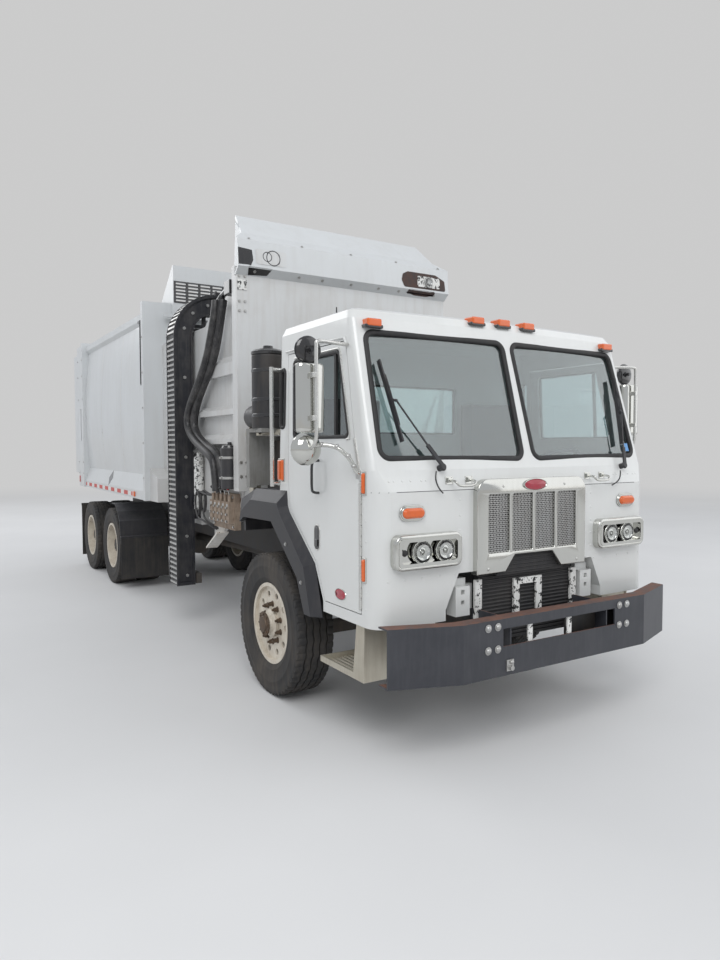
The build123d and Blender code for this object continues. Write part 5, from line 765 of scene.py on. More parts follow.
# Lamp lenses in place of the plain blocks, with their bases; side lamps by station and Z
ROOF_LAMPS = (-1.05, -0.23, 0.0, 0.23, 1.05)
SIDE_LAMPS = (((1.475, 1.562), (1.61, 1.765)), ((0.396, 0.428), (1.575, 1.705)), ((0.396, 0.428), (1.06, 1.2)))


def marker_lenses():
    lenses, bases, roof_bases = (bmesh.new() for _ in range(3))
    for _, hand in SIDES:
        matrix = aim(at(hand * 0.953, 0.288, 1.464), -ALONG)
        outline = oval(0.155, 0.062)
        plate(lenses, outline, matrix, 0.027)
        plate(lenses, [(u * 0.93, v * 0.84) for u, v in outline], matrix, 0.033)
        plate(bases, oval(0.188, 0.094), matrix, 0.008)
        plate(bases, oval(0.172, 0.078), matrix, 0.016)
        for (y_low, y_high), (z_low, z_high) in SIDE_LAMPS:
            box(lenses, (hand * 1.200, hand * 1.226), (y_low + 0.004, y_high - 0.004), (z_low + 0.004, z_high - 0.004))
            box(bases, (hand * 1.200, hand * 1.212), (y_low - 0.004, y_high + 0.004), (z_low - 0.006, z_high + 0.006))
    for x in ROOF_LAMPS:
        foot, _ = hit("cab_shell", at(x, 0.585, 4.0), -UP)
        block(lenses, foot, (-0.053, -0.050, -0.020), (0.053, 0.045, 0.028))
        block(roof_bases, foot, (-0.064, -0.046, -0.03), (0.064, 0.055, -0.008))
    piece("marker_lenses", lenses, "chassis", "lamp", bevel=0.011, segments=4, instead="marker_lamps")
    piece("marker_bases", bases, "chassis", "chrome", bevel=0.006, segments=3)
    piece("roof_lamp_bases", roof_bases, "chassis", "gloss_black", bevel=0.006, segments=3)


# Bumper fittings
BUMPER_BOLTS = ((0.541, 0.794), (0.616, 0.794), (0.541, 0.662), (0.616, 0.662))


def bumper_fittings():
    bm = bmesh.new()
    for point, normal in [ahead("front_bumper", hand * x, z) for _, hand in SIDES for x, z in BUMPER_BOLTS]:
        bar(bm, point, point + normal * 0.005, 0.024, sides=28)
        ball(bm, point + normal * 0.004, 0.018, normal, 0.75)
    # small fitting on the lower edge
    point, normal = ahead("front_bumper", -0.447, 0.552)
    block(bm, point, (-0.028, -0.010, -0.032), (0.028, 0.004, 0.036))
    bar(bm, point + Vector((0.0, 0.0, -0.012)), point + Vector((0.0, -0.030, -0.012)), 0.016, sides=6)
    ball(bm, point + Vector((0.008, -0.014, 0.022)), 0.014, normal, 0.8)
    piece("bumper_bolts", bm, "chassis", "steel", bevel=0.002)
    build("slot_stubs", "chassis", "worn_white",
          *((box, (x - 0.019, x + 0.019), (0.013, 0.026), (0.655, 0.792)) for x in (-0.262, 0.080)), bevel=0.002)
    # painted shade: thin black plate behind the slot, in front of the steps, makes the slot dark where the steps lie
    # in shade
    build("slot_shade_plate", "chassis", "black_frame", (box, (0.13, 0.66), (0.100, 0.106), (0.60, 0.82)), bevel=0.001)
    # tow eyes behind the bumper's lower edge
    build("tow_eyes", "chassis", "black_frame",
          *((box, (hand * x, hand * (x + 0.012)), (0.03, 0.30), (0.50, 0.60)) for _, hand in SIDES
            for x in (0.43, 0.47)), bevel=0.003)


# Doors: hinge, handle, badge, grab handle (Z and height off the door) and drip rail (station and Z)
DOOR_GRAB = ((1.555, 0.0), (1.556, 0.045), (1.59, 0.052), (1.66, 0.052), (1.73, 0.052), (1.764, 0.045), (1.765, 0.0))
DRIP_RAIL = ((0.640, 2.470), (0.668, 2.516), (0.90, 2.522), (1.25, 2.522), (1.470, 2.516))


def door_fittings():
    for side, hand in SIDES:
        place, body, out = on_side(hand), f"door_{side}", (hand, 0, 0)
        bm = bmesh.new()
        box(bm, (hand * 1.200, hand * 1.2085), (0.448, 0.474), (0.885, 1.640))
        for z in (0.90 + 0.062 * k for k in range(12)):
            bar(bm, place(0.447, z, 0.005), place(0.447, z + 0.056, 0.005), 0.0065, sides=12)
            stud(bm, place(0.462, z + 0.03, 0.003), 0.005, out)
        # upper run beside the pillar
        flat_bar(bm, place(0.452, 1.65, 0.003), place(0.533, 1.905, 0.003), 0.020, 0.006, out)
        piece(f"door_hinge_{side}", bm, body, "bright_tube", slot="steel")
        # handle: cup with a paddle in it
        cup = aim(place(0.995, 1.262, -0.001), out)
        build(f"door_handle_{side}", body, "gloss_black",
              (plate, oval(0.158, 0.066, 6), cup @ Matrix.Rotation(math.pi / 2, 4, "Z"), 0.006),
              (plate, rect(-0.019, 0.019, -0.066, 0.066), cup, 0.0075),
              (plate, rect(-0.019, 0.019, -0.058, -0.012), cup, 0.014), bevel=0.004, segments=3)
        build(f"door_handle_rim_{side}", body, "bright_tube",
              (bead, [(v, u) for u, v in oval(0.166, 0.074, 6)], lambda u, v, h: cup @ Vector((u, v, h)), 0.008,
               0.006, 4))
        # blank badge, with its rim
        badge = aim(place(0.693, 0.941, -0.001), out)
        build(f"door_badge_{side}", body, "enamel",
              (lathe, ((0.0, 0.006), (0.030, 0.0055), (0.033, 0.002)), badge, 48, 1.95))
        build(f"door_badge_rim_{side}", body, "chrome",
              (lathe, ((0.032, 0.0), (0.033, 0.005), (0.035, 0.005), (0.0365, 0.0)), badge, 48, 1.9))
        curve(f"door_grab_{side}", [place(0.969, z, height) for z, height in DOOR_GRAB], 0.009, body, "gloss_black")
        build(f"drip_rail_{side}", "chassis", "white_paint", (bead, DRIP_RAIL, place, 0.012, 0.012, 6, False))


# Mirrors in place of the plain ones: housing by Z and share of its size, tube and arm by X, station and Z
MIRROR_X, ROUND_Z = 1.440, 2.425
MIRROR_RINGS = ((1.937, 0.80), (1.942, 0.93), (1.952, 0.99), (1.965, 1.0), (2.315, 1.0), (2.328, 0.99), (2.338, 0.93),
                (2.343, 0.80))
MIRROR_BACK = ((0.0, 0.030), (0.020, 0.030), (0.022, 0.020), (0.060, 0.017), (0.080, 0.010), (0.085, 0.003),
               (0.084, -0.002), (0.0, -0.002))
MIRROR_TUBE = ((1.19, 0.630, 2.468), (1.30, 0.605, 2.470), (1.39, 0.575, 2.470), (1.428, 0.575, 2.468),
               (1.432, 0.575, 2.44), (1.432, 0.575, 2.30), (1.432, 0.575, 1.99), (1.432, 0.575, 1.905),
               (1.436, 0.595, 1.86), (1.440, 0.635, 1.845))
MIRROR_ARM = ((1.420, 0.635, 1.86), (1.385, 0.60, 1.868), (1.315, 0.545, 1.855), (1.262, 0.505, 1.800),
              (1.236, 0.480, 1.740), (1.224, 0.470, 1.700), (1.200, 0.466, 1.690))


def mirrors():
    turns = [math.pi * k / 24 for k in range(25)]
    section = [(-math.copysign(abs(math.cos(a)) ** 0.55, math.cos(a)), math.sin(a) ** 0.75) for a in turns]
    for side, hand in SIDES:
        body, x = f"door_{side}", hand * MIRROR_X
        bm = bmesh.new()
        rings = [[bm.verts.new(at(x + 0.094 * scale * wide, 0.654 - 0.052 * scale * deep, z))
                  for wide, deep in section] for z, scale in MIRROR_RINGS]
        skin(bm, rings, False)
        bm.faces.new(rings[0])
        bm.faces.new(rings[-1])
        # bowl of the round mirror below, with its rim
        bowl = at(x, 0.690, 1.840)
        lathe(bm, [(0.097 * math.sin(a), 0.062 * math.cos(a) - 0.002)
                   for a in map(math.radians, (0.1, 15, 30, 45, 60, 75, 90))], aim(bowl, -ALONG))
        lathe(bm, ((0.097, -0.002), (0.099, -0.010), (0.092, -0.014)), aim(bowl, -ALONG))
        piece(f"mirror_housing_{side}", bm, body, "chrome", instead=f"mirror_{side}")
        build(f"mirror_glass_{side}", body, "mirror_glass",
              (box, (x - 0.088, x + 0.088), (0.6535, 0.6565), (1.950, 2.330)),
              (lathe, ((0.0, 0.010), (0.05, 0.007), (0.090, 0.0)), aim(bowl + ALONG * 0.012, ALONG)),
              (lathe, ((0.0, 0.010), (0.05, 0.007), (0.079, 0.0)), aim(at(x, 0.683, ROUND_Z), ALONG)))
        spot = at(x - hand * 0.012, 0.682, ROUND_Z)
        build(f"mirror_back_{side}", body, "gloss_black", (lathe, MIRROR_BACK, aim(spot, -ALONG)),
              (bar, spot - ALONG * 0.055, spot - ALONG * 0.015, 0.012),
              (bead, rounded(rect(-0.095, 0.095, -0.197, 0.197), 0.02),
               lambda u, v, h: at(x + u, 0.652 + h, 2.140 + v), 0.010, 0.006, 4))
        curve(f"mirror_tube_{side}", [at(hand * u, y, z) for u, y, z in MIRROR_TUBE], 0.0115, body, "bright_tube")
        build(f"mirror_clamps_{side}", body, "bright_tube",
              *((box, (x - 0.022, x + 0.006), (0.563, 0.614), (z - 0.016, z + 0.016)) for z in (2.02, 2.27)),
              bevel=0.004, slot="steel")
        arm = [at(hand * u, y, z) for u, y, z in MIRROR_ARM]
        curve(f"mirror_arm_{side}", arm, 0.0125, body, "chrome")
        build(f"mirror_joints_{side}", body, "steel",
              (box, (hand * 1.206 - 0.006, hand * 1.206 + 0.006), (0.452, 0.500), (1.665, 1.715)),
              *((ball, joint, 0.017, UP, 0.8, 12, 8) for joint in arm[1:5]), bevel=0.002)


# Wheels: station and Z of the hubs
FRONT_HUB, REAR_HUBS = (1.775, 0.530), ((1, (6.940, 0.512)), (2, (8.290, 0.512)))

# Tyres with tread, in place of the plain ones: the casing's side as shares of its height and of the tyre's width
TYRE_SEAT = 0.292
TYRE_SIDE = ((0.0, 0.30), (0.03, 0.36), (0.08, 0.40), (0.20, 0.445), (0.22, 0.452), (0.24, 0.448), (0.45, 0.485),
             (0.55, 0.487), (0.57, 0.492), (0.60, 0.492), (0.62, 0.484), (0.80, 0.468), (0.82, 0.472), (0.88, 0.468),
             (0.93, 0.455))
RIBS, GROOVE_DEPTH, SHOULDER_SLOT, RIB_SLOT, SWAY = 5, 0.014, 0.011, 0.004, 0.004


def tyre_shape(bm, centre, radius, width, lugs):
    """Tyre from its turned section, with grooves between the ribs and slots across the shoulders."""
    edge = 0.44 * width
    pitch = 2 * edge / RIBS
    wall = [(out * width, TYRE_SEAT + share * (radius - TYRE_SEAT), False) for share, out in TYRE_SIDE]
    wall += [(edge + 0.006, radius - 0.010, True), (edge, radius - 0.003, True)]
    profile = list(wall)
    for x in (edge - k * pitch for k in range(1, RIBS)):
        profile += [(x + 0.006, radius, True), (x + 0.004, radius - GROOVE_DEPTH, False),
                    (x - 0.004, radius - GROOVE_DEPTH, False), (x - 0.006, radius, True)]
    profile += [(-x, r, slotted) for x, r, slotted in reversed(wall)]
    rings = []
    for i in range(lugs * 4):
        angle = math.tau * i / (lugs * 4)
        ring = []
        for x, r, slotted in profile:
            sway = SWAY * math.sin(angle * lugs / 2) if abs(x) < edge - pitch * 0.6 and r > radius - 0.02 else 0.0
            if slotted and i % 4 == 0:
                r -= SHOULDER_SLOT if abs(x) > edge - pitch * 0.75 else RIB_SLOT
            ring.append(bm.verts.new(centre + Vector((x + sway, r * math.cos(angle), r * math.sin(angle)))))
        rings.append(ring)
    skin(bm, rings + rings[:1], False)
    # inner wall of the casing
    inner = ((TYRE_SEAT, -0.30), (TYRE_SEAT + 0.03, -0.28), (TYRE_SEAT + 0.03, 0.28), (TYRE_SEAT, 0.30))
    lathe(bm, [(r, share * width) for r, share in inner],
          Matrix.Translation(centre) @ Matrix.Rotation(math.pi / 2, 4, "Y"), 72)


def tyres():
    for side, hand in SIDES:
        build(f"tyre_tread_front_{side}", f"wheel_front_{side}", "tyre",
              (tyre_shape, at(hand * 1.075, *FRONT_HUB), 0.5295, 0.303, 60), instead=f"tyre_front_{side}")
        for number, hub in REAR_HUBS:
            build(f"tyre_tread_rear_{number}_{side}", f"wheels_rear_{number}_{side}", "tyre",
                  *((tyre_shape, at(hand * 0.905 + offset, *hub), 0.5115, 0.276, 54) for offset in (-0.165, 0.165)),
                  instead=f"tyres_rear_{number}_{side}")


# Wheel nuts and hub caps
HUB_CAP = ((0.088, -0.002), (0.088, 0.006), (0.060, 0.010), (0.055, 0.020), (0.030, 0.024), (0.0, 0.024))


def wheel_fittings():
    wheels = [(f"wheel_front_{side}", f"rim_front_{side}", hand, FRONT_HUB) for side, hand in SIDES]
    wheels += [(f"wheels_rear_{number}_{side}", f"rims_rear_{number}_{side}", hand, hub)
               for side, hand in SIDES for number, hub in REAR_HUBS]
    for body, rim, hand, (y, z) in wheels:
        out = Vector((hand, 0, 0))
        bm = bmesh.new()
        for u, v in circle(10, 0.1425, 0.5):
            point, normal = beside(rim, hand, y + u, z + v)
            if point is not None and abs(normal.x) >= 0.6:
                bar(bm, point, point + out * 0.006, 0.024, 0.021)
                bar(bm, point + out * 0.005, point + out * 0.030, 0.0175, sides=6)
                bar(bm, point + out * 0.030, point + out * 0.046, 0.0095, sides=12)
        piece(f"wheel_nuts_{body}", bm, body, "nut", bevel=0.0015)
        point, _ = beside(rim, hand, y, z)
        bm = bmesh.new()
        lathe(bm, HUB_CAP, aim(point, out), 40)
        for u, v in circle(8, 0.073):
            spot = point + Vector((hand * 0.006, u, v))
            bar(bm, spot, spot + out * 0.010, 0.008, sides=6)
        piece(f"hub_cap_{body}", bm, body, "nut" if "front" in body else "iron", bevel=0.0015)


# Hopper side: valves, canister, actuator, clamp and plates
VALVE_YS = [2.81 + 0.10 * index for index in range(5)]
POST_BOLTS = (3.00, 3.08, 3.20, 3.29, 1.60, 1.72)
VALVE_PLATE = ((2.75, 1.325), (3.38, 0.935), (3.38, 1.10), (2.75, 1.47))
CANISTER_CAP = ((0.072, 1.842), (0.060, 1.866), (0.020, 1.870), (0.018, 1.895), (0.0, 1.896))
STRAP = ((0.0795, 0.0), (0.082, 0.003), (0.082, 0.019), (0.0795, 0.022))
COLLAR = ((0.0485, -0.016), (0.053, -0.013), (0.053, 0.013), (0.0485, 0.016))


def hopper_fittings():
    shapes = []
    for y in VALVE_YS:
        shapes += [(bar, at(-1.097, y, 1.425), at(-1.109, y, 1.478), 0.005, None, 10),
                   (box, (-1.123, -1.077), (y - 0.019, y + 0.019), (1.33, 1.352))]
        shapes += [(bar, at(-1.117, y, z), at(-1.138, y, z), 0.012, None, 6) for z in (1.20, 1.26, 1.32)]
    shapes += [(bar, at(-1.070, y, z), at(-1.084, y, z), 0.012, None, 6) for y in (2.78, 3.24) for z in (1.15, 1.41)]
    build("valve_fittings", "body", "steel", *shapes, bevel=0.0015)
    for name, material, valves in (("red", "red_lamp", (0, 3)), ("black", "gloss_black", (1, 2, 4))):
        build(f"valve_knobs_{name}", "body", material,
              *((ball, at(-1.111, VALVE_YS[k], 1.488), 0.015) for k in valves), slot="black_plastic")
    shapes = []
    for z in (1.572, 1.748):
        shapes += [(lathe, STRAP, Matrix.Translation(at(-1.095, 2.80, z)), 40),
                   (box, (-1.186, -1.170), (2.782, 2.818), (z + 0.002, z + 0.020))]
    build("canister_straps", "body", "steel", *shapes)
    build("canister_cap", "body", "gloss_black",
          (lathe, CANISTER_CAP, Matrix.Translation(at(-1.095, 2.80, 0.0)), 40))
    # T head of the upright cylinder, with its collars
    head = at(-1.05, 3.74, 1.812)
    build("actuator_head", "body", "bright_tube", (bar, head - UP * 0.075, head, 0.022),
          (bar, head - ALONG * 0.085, head + ALONG * 0.085, 0.026),
          (bar, head - ALONG * 0.092, head - ALONG * 0.085, 0.014),
          *((lathe, COLLAR, Matrix.Translation(at(-1.05, 3.74, z)), 32) for z in (1.70, 1.30)),
          bevel=0.002, slot="steel")
    # clamp box near the post's head and fittings on the post
    build("hose_clamp", "body", "gloss_black", (box, (-1.115, -1.005), (2.715, 2.850), (3.165, 3.285)),
          (bar, at(-1.065, 2.84, 3.23), at(-1.065, 3.01, 3.20), 0.034, 0.026),
          (bar, at(-1.065, 3.00, 3.20), at(-1.085, 3.06, 3.13), 0.030, 0.036), bevel=0.008)
    spots = [hit("hopper", at(x, 1.0, z), ALONG) for x in (-1.025, -1.075) for z in POST_BOLTS]
    build("post_bolts", "body", "steel", (hexes, spots, 0.010, 0.010))
    build("post_plate", "body", "worn_white", (box, (-1.092, -1.008), (2.583, 2.592), (3.175, 3.262)), bevel=0.003)
    # stained steel plate over the slope under the valves
    build("valve_plate", "body", "dusty_white", (face, [at(-1.016, y, z) for y, z in VALVE_PLATE]),
          (box, (-1.13, -1.016), (3.02, 3.36), (0.985, 1.0), Matrix.Rotation(math.radians(-30), 4, "X")), bevel=0.002)


# Hoses: the bundle's line, and each hose's offset from it, diameter and length
BUNDLE = (
    (-1.085, 3.040, 3.150), (-1.100, 3.030, 3.050), (-1.105, 3.100, 2.860), (-1.108, 3.240, 2.640),
    (-1.112, 3.480, 2.430), (-1.115, 3.700, 2.260), (-1.118, 3.790, 2.080), (-1.115, 3.690, 1.950),
    (-1.112, 3.430, 1.850), (-1.108, 3.200, 1.790), (-1.100, 3.080, 1.680), (-1.095, 3.060, 1.450),
)
HOSES = (
    ("bundle_a", (0.020, -0.036, 0.010), 0.082, 2.39),
    ("bundle_b", (0.018, 0.036, -0.012), 0.078, 2.38),
    ("bundle_c", (-0.030, 0.002, 0.004), 0.074, 2.39),
)
# Washer hoses under the wipers' pivots: X, Z and height off the cab's front
WASHER_HOSES = (
    ("washer_hose_right", ((-0.775, 1.700, 0.018), (-0.792, 1.672, 0.024), (-0.790, 1.629, 0.020),
                           (-0.768, 1.590, 0.014), (-0.743, 1.574, 0.004))),
    ("washer_hose_left", ((0.900, 1.671, 0.018), (0.890, 1.648, 0.022), (0.868, 1.612, 0.018),
                          (0.828, 1.588, 0.012), (0.784, 1.575, 0.004))),
)


def hose(name, points, diameter, body="body"):
    obj = curve(name, points, diameter / 2, body, "hose")


def hoses():
    rng = random.Random(5)
    for name, (dx, dy, dz), diameter, length in HOSES:
        points = []
        for index, (x, y, z) in enumerate(BUNDLE):
            sway = 0.012 if 0 < index < len(BUNDLE) - 1 else 0.0
            points.append((x + dx, station(y) + dy + rng.uniform(-sway, sway), z + dz + rng.uniform(-sway, sway)))
        hose(name, points, diameter)
    # loops beside the arm
    for index, (y, z, size) in enumerate(((3.52, 1.33, 0.085), (3.60, 1.30, 0.10))):
        x = -1.075 - 0.028 * index
        points = [(x + 0.05, station(3.30), 1.40), (x, station(3.36), 1.40)]
        for k in range(13):
            a = math.radians(100 - 45 * k)
            points.append((x - 0.0016 * k, station(y) - size * 0.75 * math.cos(a), z + size * 1.3 * math.sin(a)))
        points += [(x - 0.02, station(3.45), 1.16), (x + 0.04, station(3.36), 1.10), (x + 0.07, station(3.30), 1.08)]
        hose(f"loop_{index}", points, 0.019)
    for name, points in WASHER_HOSES:
        hose(name, [tuple(on_front(*point)) for point in points], 0.009, body="chassis")


# Load box: tape, lamps, placard, bolts, latch rod and seams
def box_fittings():
    for side, hand in SIDES:
        face_x = hand * 1.2015
        build(f"tape_{side}", "body", "tape", (box, (face_x, hand * 1.203), (5.72, 8.56), (1.262, 1.312)))
        build(f"box_lamp_{side}", "body", "lamp", (box, (face_x, hand * 1.2175), (5.60, 5.70), (1.258, 1.318)),
              bevel=0.006, segments=3)
        # blank black placard on the slope
        normal = Vector((hand * 0.936, 0.0, 0.350))
        card = aim(at(hand * 1.166, 7.02, 1.434) - normal * 0.001, normal) @ Matrix.Rotation(math.radians(45), 4, "Z")
        build(f"placard_{side}", "body", "gloss_black", (plate, rect(-0.075, 0.075, -0.075, 0.075), card, 0.003),
              bevel=0.001)
        spots = [beside("body_box", hand, y, z) for y in (8.64, 8.94) for z in (1.45, 1.62, 2.60, 2.95, 3.2)]
        spots += [beside("body_box", hand, 5.13, z) for z in (1.5, 1.9, 2.3, 2.7, 3.1)]
        build(f"box_bolts_{side}", "body", "steel",
              *((stud, card @ Vector((u, v, 0.003)), 0.005, normal) for u, v in rect(-0.066, 0.066, -0.066, 0.066)),
              (hexes, outermost(spots, 1.15), 0.009, 0.008))
        build(f"side_tail_lamp_{side}", "body", "red_lamp",
              (box, (hand * 1.219, hand * 1.229), (8.90, 8.96), (1.30, 1.40)), bevel=0.004)
    # tie rod with its bracket behind the front frame, on the arm's side
    build("latch_rod", "body", "gloss_black", (bar, at(-1.212, 5.205, 2.575), at(-1.212, 5.205, 3.30), 0.014),
          (box, (-1.221, -1.10), (5.165, 5.30), (3.27, 3.30)), (box, (-1.221, -1.15), (5.19, 5.22), (2.56, 2.60)),
          (bar, at(-1.18, 5.28, 3.29), at(-1.18, 5.28, 3.42), 0.010),
          (bar, at(-1.13, 5.26, 3.29), at(-1.13, 5.26, 3.38), 0.008), bevel=0.002)
    # seams across the bulged sides
    bm = bmesh.new()
    half = ALONG * 0.004
    for hand, y in ((hand, y) for _, hand in SIDES for y in (6.35, 7.48)):
        spots = [beside("body_box", hand, y, 1.545 + 0.095 * k) for k in range(19)]
        line = [point + normal * 0.0008 for point, normal in spots if point is not None]
        for low, high in zip(line, line[1:]):
            face(bm, (low - half, low + half, high + half, high - half))
    piece("box_seams", bm, "body", "dusty_white", slot="white_paint")


# Sheet of painted shade over the screen's white face, with the slots' openings left in it
def screen_shade_sheet():
    middles = [(0.146 * (i - 5.5), 3.625 + 0.038 * (k - 2.5)) for i in range(12) for k in range(6)]
    holes = [rect(x - 0.058, x + 0.058, z - 0.0105, z + 0.0105) for x, z in middles]
    bm = flat_curve("screen_shade_sheet", [rect(-0.885, 0.885, 3.500, 3.745), *holes], 0.003, 0.0, 4.996)
    piece("screen_shade_sheet", bm, "body", "dark_screen", smooth=False)


# Front shield: bare panel with a ring, worn patches and a lamp, by X and Z
BLACK_PATCHES = (((-1.108, 3.512), (-0.985, 3.502), (-0.975, 3.42), (-0.998, 3.37), (-1.02, 3.375), (-1.108, 3.372)),
                 ((-1.02, 3.362), (-0.80, 3.362), (-0.83, 3.315), (-1.00, 3.305)))
BURNT_PATCHES = (((0.56, 3.50), (0.62, 3.528), (0.95, 3.528), (1.06, 3.48), (1.07, 3.378), (0.575, 3.378),
                  (0.545, 3.44)),
                 ((0.585, 3.362), (0.98, 3.362), (0.95, 3.335), (0.86, 3.318), (0.72, 3.318), (0.62, 3.335)))


def on_shield(x, z, height=0.0):
    point, normal = ahead("canopy", x, z)
    return point + normal * height, normal


def patch(bm, outline, height):
    """Face laid over the shield."""
    face(bm, [on_shield(x, z, height)[0] for x, z in outline])


def shield_fittings():
    build("shield_patches", "body", "gloss_black", *((patch, outline, 0.002) for outline in BLACK_PATCHES))
    build("shield_panel", "body", "hopper_white", (patch, rounded(rect(-0.952, -0.665, 3.392, 3.520), 0.02), 0.003))
    point, normal = on_shield(-0.79, 3.456, 0.003)
    small, _ = on_shield(-0.845, 3.462, 0.003)
    spots = [on_shield(-0.79 + 0.075 * u, 3.456 + 0.05 * v, 0.003) for u, v in circle(4, start=0.5)]
    build("shield_ring", "body", "trim_grey",
          (lathe, ((0.058, 0.0), (0.060, 0.003), (0.064, 0.003), (0.066, 0.0)), aim(point, normal), 40),
          (lathe, ((0.036, 0.0), (0.038, 0.002), (0.041, 0.002), (0.043, 0.0)), aim(small, normal), 32),
          *((stud, spot, 0.006, out) for spot, out in spots))
    build("shield_rust", "body", "burnt", *((patch, rounded(outline, 0.02, 3), 0.002) for outline in BURNT_PATCHES))
    build("shield_lamp_plate", "body", "worn_white", (patch, rounded(rect(0.73, 1.00, 3.395, 3.500), 0.02), 0.004))
    lamp = aim(*on_shield(0.86, 3.445, 0.002))
    build("shield_lamp_cup", "body", "steel",
          (lathe, ((0.050, 0.0), (0.054, 0.012), (0.050, 0.018), (0.044, 0.014), (0.0, 0.010)), lamp, 40))
    build("shield_lamp", "body", "lens", (lathe, ((0.043, 0.013), (0.028, 0.020), (0.0, 0.023)), lamp, 40))
    spots = [on_shield(x, 3.332) for x in (-0.95, -0.53, -0.30, 0.0, 0.30, 0.53, 0.95)]
    spots += [on_shield(x, 3.60) for x in (-1.0, -0.5, 0.0, 0.5, 1.0)]
    build("shield_bolts", "body", "steel", (hexes, spots, 0.010, 0.009))


# Behind the cab: cream bracket, cleaner fittings, elbow and cooling pack
BRACKET_BOLTS = ((2.335, 2.0), (2.335, 1.86), (2.335, 1.60), (2.335, 1.42), (1.90, 1.965), (2.15, 1.965))
CLEANER_CAP = ((0.1255, 2.555), (0.129, 2.560), (0.129, 2.578), (0.110, 2.592), (0.040, 2.598), (0.038, 2.625),
               (0.0, 2.628))


def rear_of_cab():
    web = (-1.091, -1.079)
    build("cream_bracket", "chassis", "step_alloy", (box, web, (1.80, 2.45), (1.945, 1.985)),
          (box, (-1.091, -0.985), (1.80, 2.45), (1.945, 1.955)), (box, web, (2.30, 2.37), (1.36, 1.95)),
          (box, (-1.091, -0.995), (2.36, 2.37), (1.36, 1.95)),
          (bar, at(-1.091, 2.335, 2.0), at(-1.079, 2.335, 2.0), 0.045),
          (box, web, (2.29, 2.38), (1.965, 2.0)), bevel=0.003)
    spots = [(at(-1.091, y, z), Vector((-1, 0, 0))) for y, z in BRACKET_BOLTS]
    build("bracket_bolts", "chassis", "nut", (hexes, spots, 0.011, 0.012))
    cleaner = Matrix.Translation(at(-1.105, 1.96, 0.0))
    build("cleaner_fittings", "chassis", "gloss_black", (lathe, CLEANER_CAP, cleaner),
          *((lathe, ((0.1255, z), (0.129, z + 0.004), (0.129, z + 0.022), (0.1255, z + 0.026)), cleaner)
            for z in (2.08, 2.20, 2.42)))
    build("intake_elbow", "chassis", "hose", (bar, at(-1.06, 2.12, 2.095), at(-1.06, 2.34, 2.095), 0.10, 0.095),
          (bar, at(-1.06, 2.34, 2.095), at(-1.06, 2.36, 2.095), 0.07), bevel=0.01, segments=3)
    build("cooling_pack", "chassis", "iron",
          *((bar, at(-0.98, 1.85, z), at(-0.98, 2.28, z + 0.02), 0.012) for z in (1.47, 1.56, 1.66, 1.76, 1.86)),
          (box, (-1.0, -0.90), (1.95, 2.22), (1.42, 1.90)), bevel=0.004)


# Arm: hardware on the band, its head and foot, and the fingers' pads
def arm_fittings():
    spots = [(-1.115, z) for z in (0.55, 0.95, 1.35, 1.75, 2.15, 2.55)]
    spots += [(-0.775 - 0.35 * math.cos(a), 2.95 + 0.35 * math.sin(a)) for a in map(math.radians, (15, 45, 75))]
    build("arm_bolts", "mast", "steel", *((bar, at(x, 3.946, z), at(x, 3.934, z), 0.017, None, 6) for x, z in spots),
          bevel=0.0015)
    build("head_cylinder", "mast", "bright_tube", (bar, at(-0.74, 3.90, 3.20), at(-0.70, 3.90, 3.33), 0.026),
          (bar, at(-0.70, 3.90, 3.33), at(-0.685, 3.90, 3.38), 0.014),
          (bar, at(-0.70, 3.875, 3.37), at(-0.70, 3.95, 3.37), 0.018),
          (bar, at(-0.745, 3.875, 3.19), at(-0.745, 3.95, 3.19), 0.018), bevel=0.002)
    build("arm_foot", "mast", "iron", (box, (-1.218, -1.04), (3.94, 4.17), (0.452, 0.47)),
          (box, (-1.02, -0.96), (3.95, 4.13), (0.455, 0.56)), bevel=0.004)
    for name, y in (("front", (3.60, 3.84)), ("rear", (4.27, 4.51))):
        build(f"finger_pad_{name}", f"finger_{name}", "flap_rubber", (box, (-0.664, -0.536), y, (3.430, 3.442)),
              bevel=0.003)


# Treads on the steps and bolts of the fenders
FENDER_BOLTS = ((1.12, 0.95), (1.35, 1.18), (1.78, 1.22), (2.25, 1.12), (2.40, 0.80))


def chassis_fittings():
    bm = bmesh.new()
    for hand, y in ((hand, 0.50 + 0.052 * k) for _, hand in SIDES for k in range(9)):
        point, _ = hit("cab_steps", at(hand * 1.12, y, 0.65), -UP)
        if point is not None:
            box(bm, (hand * 0.96, hand * 1.165), (y, y + 0.020), (point.z - 0.001, point.z + 0.005))
    piece("step_treads", bm, "chassis", "step_alloy", bevel=0.0015)
    spots = [beside("fenders", hand, y, z) for _, hand in SIDES for y, z in FENDER_BOLTS]
    build("fender_bolts", "chassis", "steel", (hexes, outermost(spots, 1.2), 0.010, 0.008))


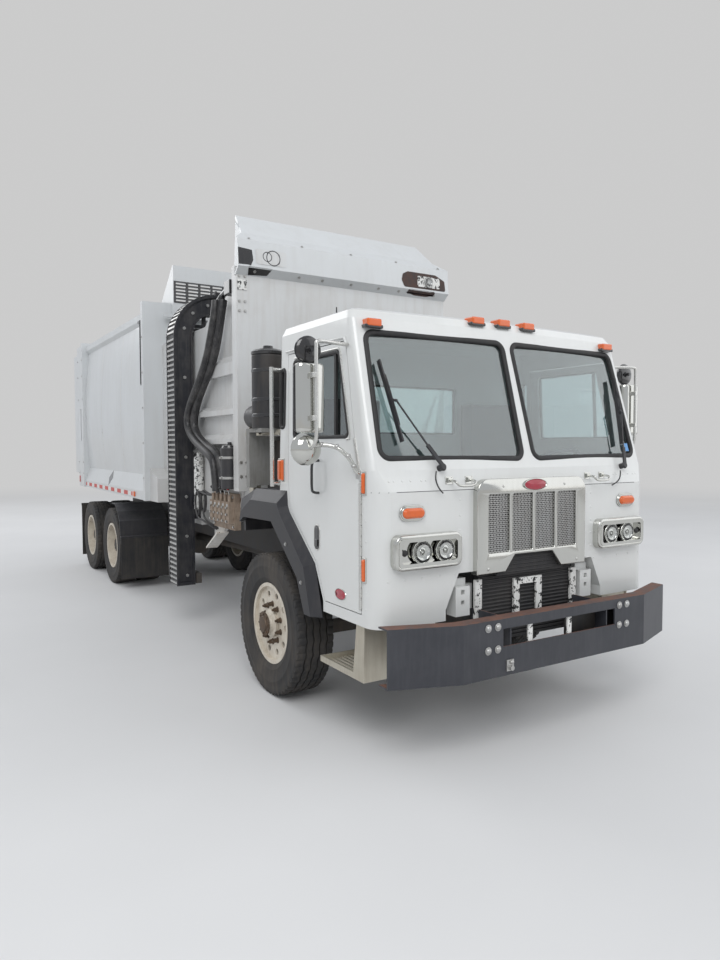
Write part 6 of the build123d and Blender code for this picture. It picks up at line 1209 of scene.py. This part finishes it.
# Tailgate: lamps, bolts of the frame and of the plate holder, and ribs
def tailgate_fittings():
    rings, reds, whites, bolts = (bmesh.new() for _ in range(4))
    for _, hand in SIDES:
        for z, target in ((1.78, reds), (1.94, reds), (2.10, whites)):
            matrix = aim(*behind(hand * 0.90, z))
            lathe(rings, ((0.062, -0.002), (0.062, 0.010), (0.052, 0.012)), matrix, 36)
            lathe(target, ((0.054, 0.004), (0.050, 0.018), (0.030, 0.024), (0.0, 0.026)), matrix, 36)
        lathe(reds, ((0.060, 0.0), (0.056, 0.014), (0.0, 0.022)), aim(*behind(hand * 0.90, 3.05)), 36)
        hexes(bolts, [behind(hand * 1.15, z) for z in (1.70, 2.40, 2.85)], 0.011, 0.010)
    piece("tail_lamp_rings", rings, "tailgate", "rubber")
    piece("tail_lamps_red", reds, "tailgate", "red_lamp")
    piece("tail_lamps_clear", whites, "tailgate", "lens")
    for x, z in ((x, z) for x in (-0.089, 0.089) for z in (1.662, 1.783)):
        # the holder's face is met beside its hole
        spot, out = behind(x + 0.012, z)
        hexes(bolts, [(Vector((x, spot.y, z)), out)], 0.006, 0.006)
    piece("tailgate_bolts", bolts, "tailgate", "steel")
    build("tailgate_ribs", "tailgate", "body_white",
          *((block, behind(0.0, z)[0], (-0.98, -0.002, -0.03), (0.98, 0.022, 0.03)) for z in (2.25, 2.50, 2.75)),
          *((block, behind(x, 2.2)[0], (-0.03, -0.002, -0.54), (0.03, 0.024, 0.66)) for x in (-0.70, 0.70)),
          bevel=0.004)


# Inside the cab: papers on the rear wall, sticker on the screen
STICKER = ((1.040, 1.815), (1.082, 1.815), (1.080, 1.872), (1.040, 1.872))


def cab_papers():
    build("papers", "chassis", "paper",
          *((box, x, (1.529, 1.532), (2.15, 2.215)) for x in ((-0.93, -0.80), (-0.76, -0.62))))
    build("sticker", "chassis", "blue_paper", (face, [on_front(x, z, 0.004) for x, z in STICKER]))


for make in (seals, wipers, cab_trim, grille, radiator, face_handles, headlamp_lenses, marker_lenses, bumper_fittings,
             door_fittings, mirrors, tyres, wheel_fittings, hopper_fittings, hoses, box_fittings, screen_shade_sheet,
             shield_fittings, rear_of_cab, arm_fittings, chassis_fittings, tailgate_fittings, cab_papers):
    make()
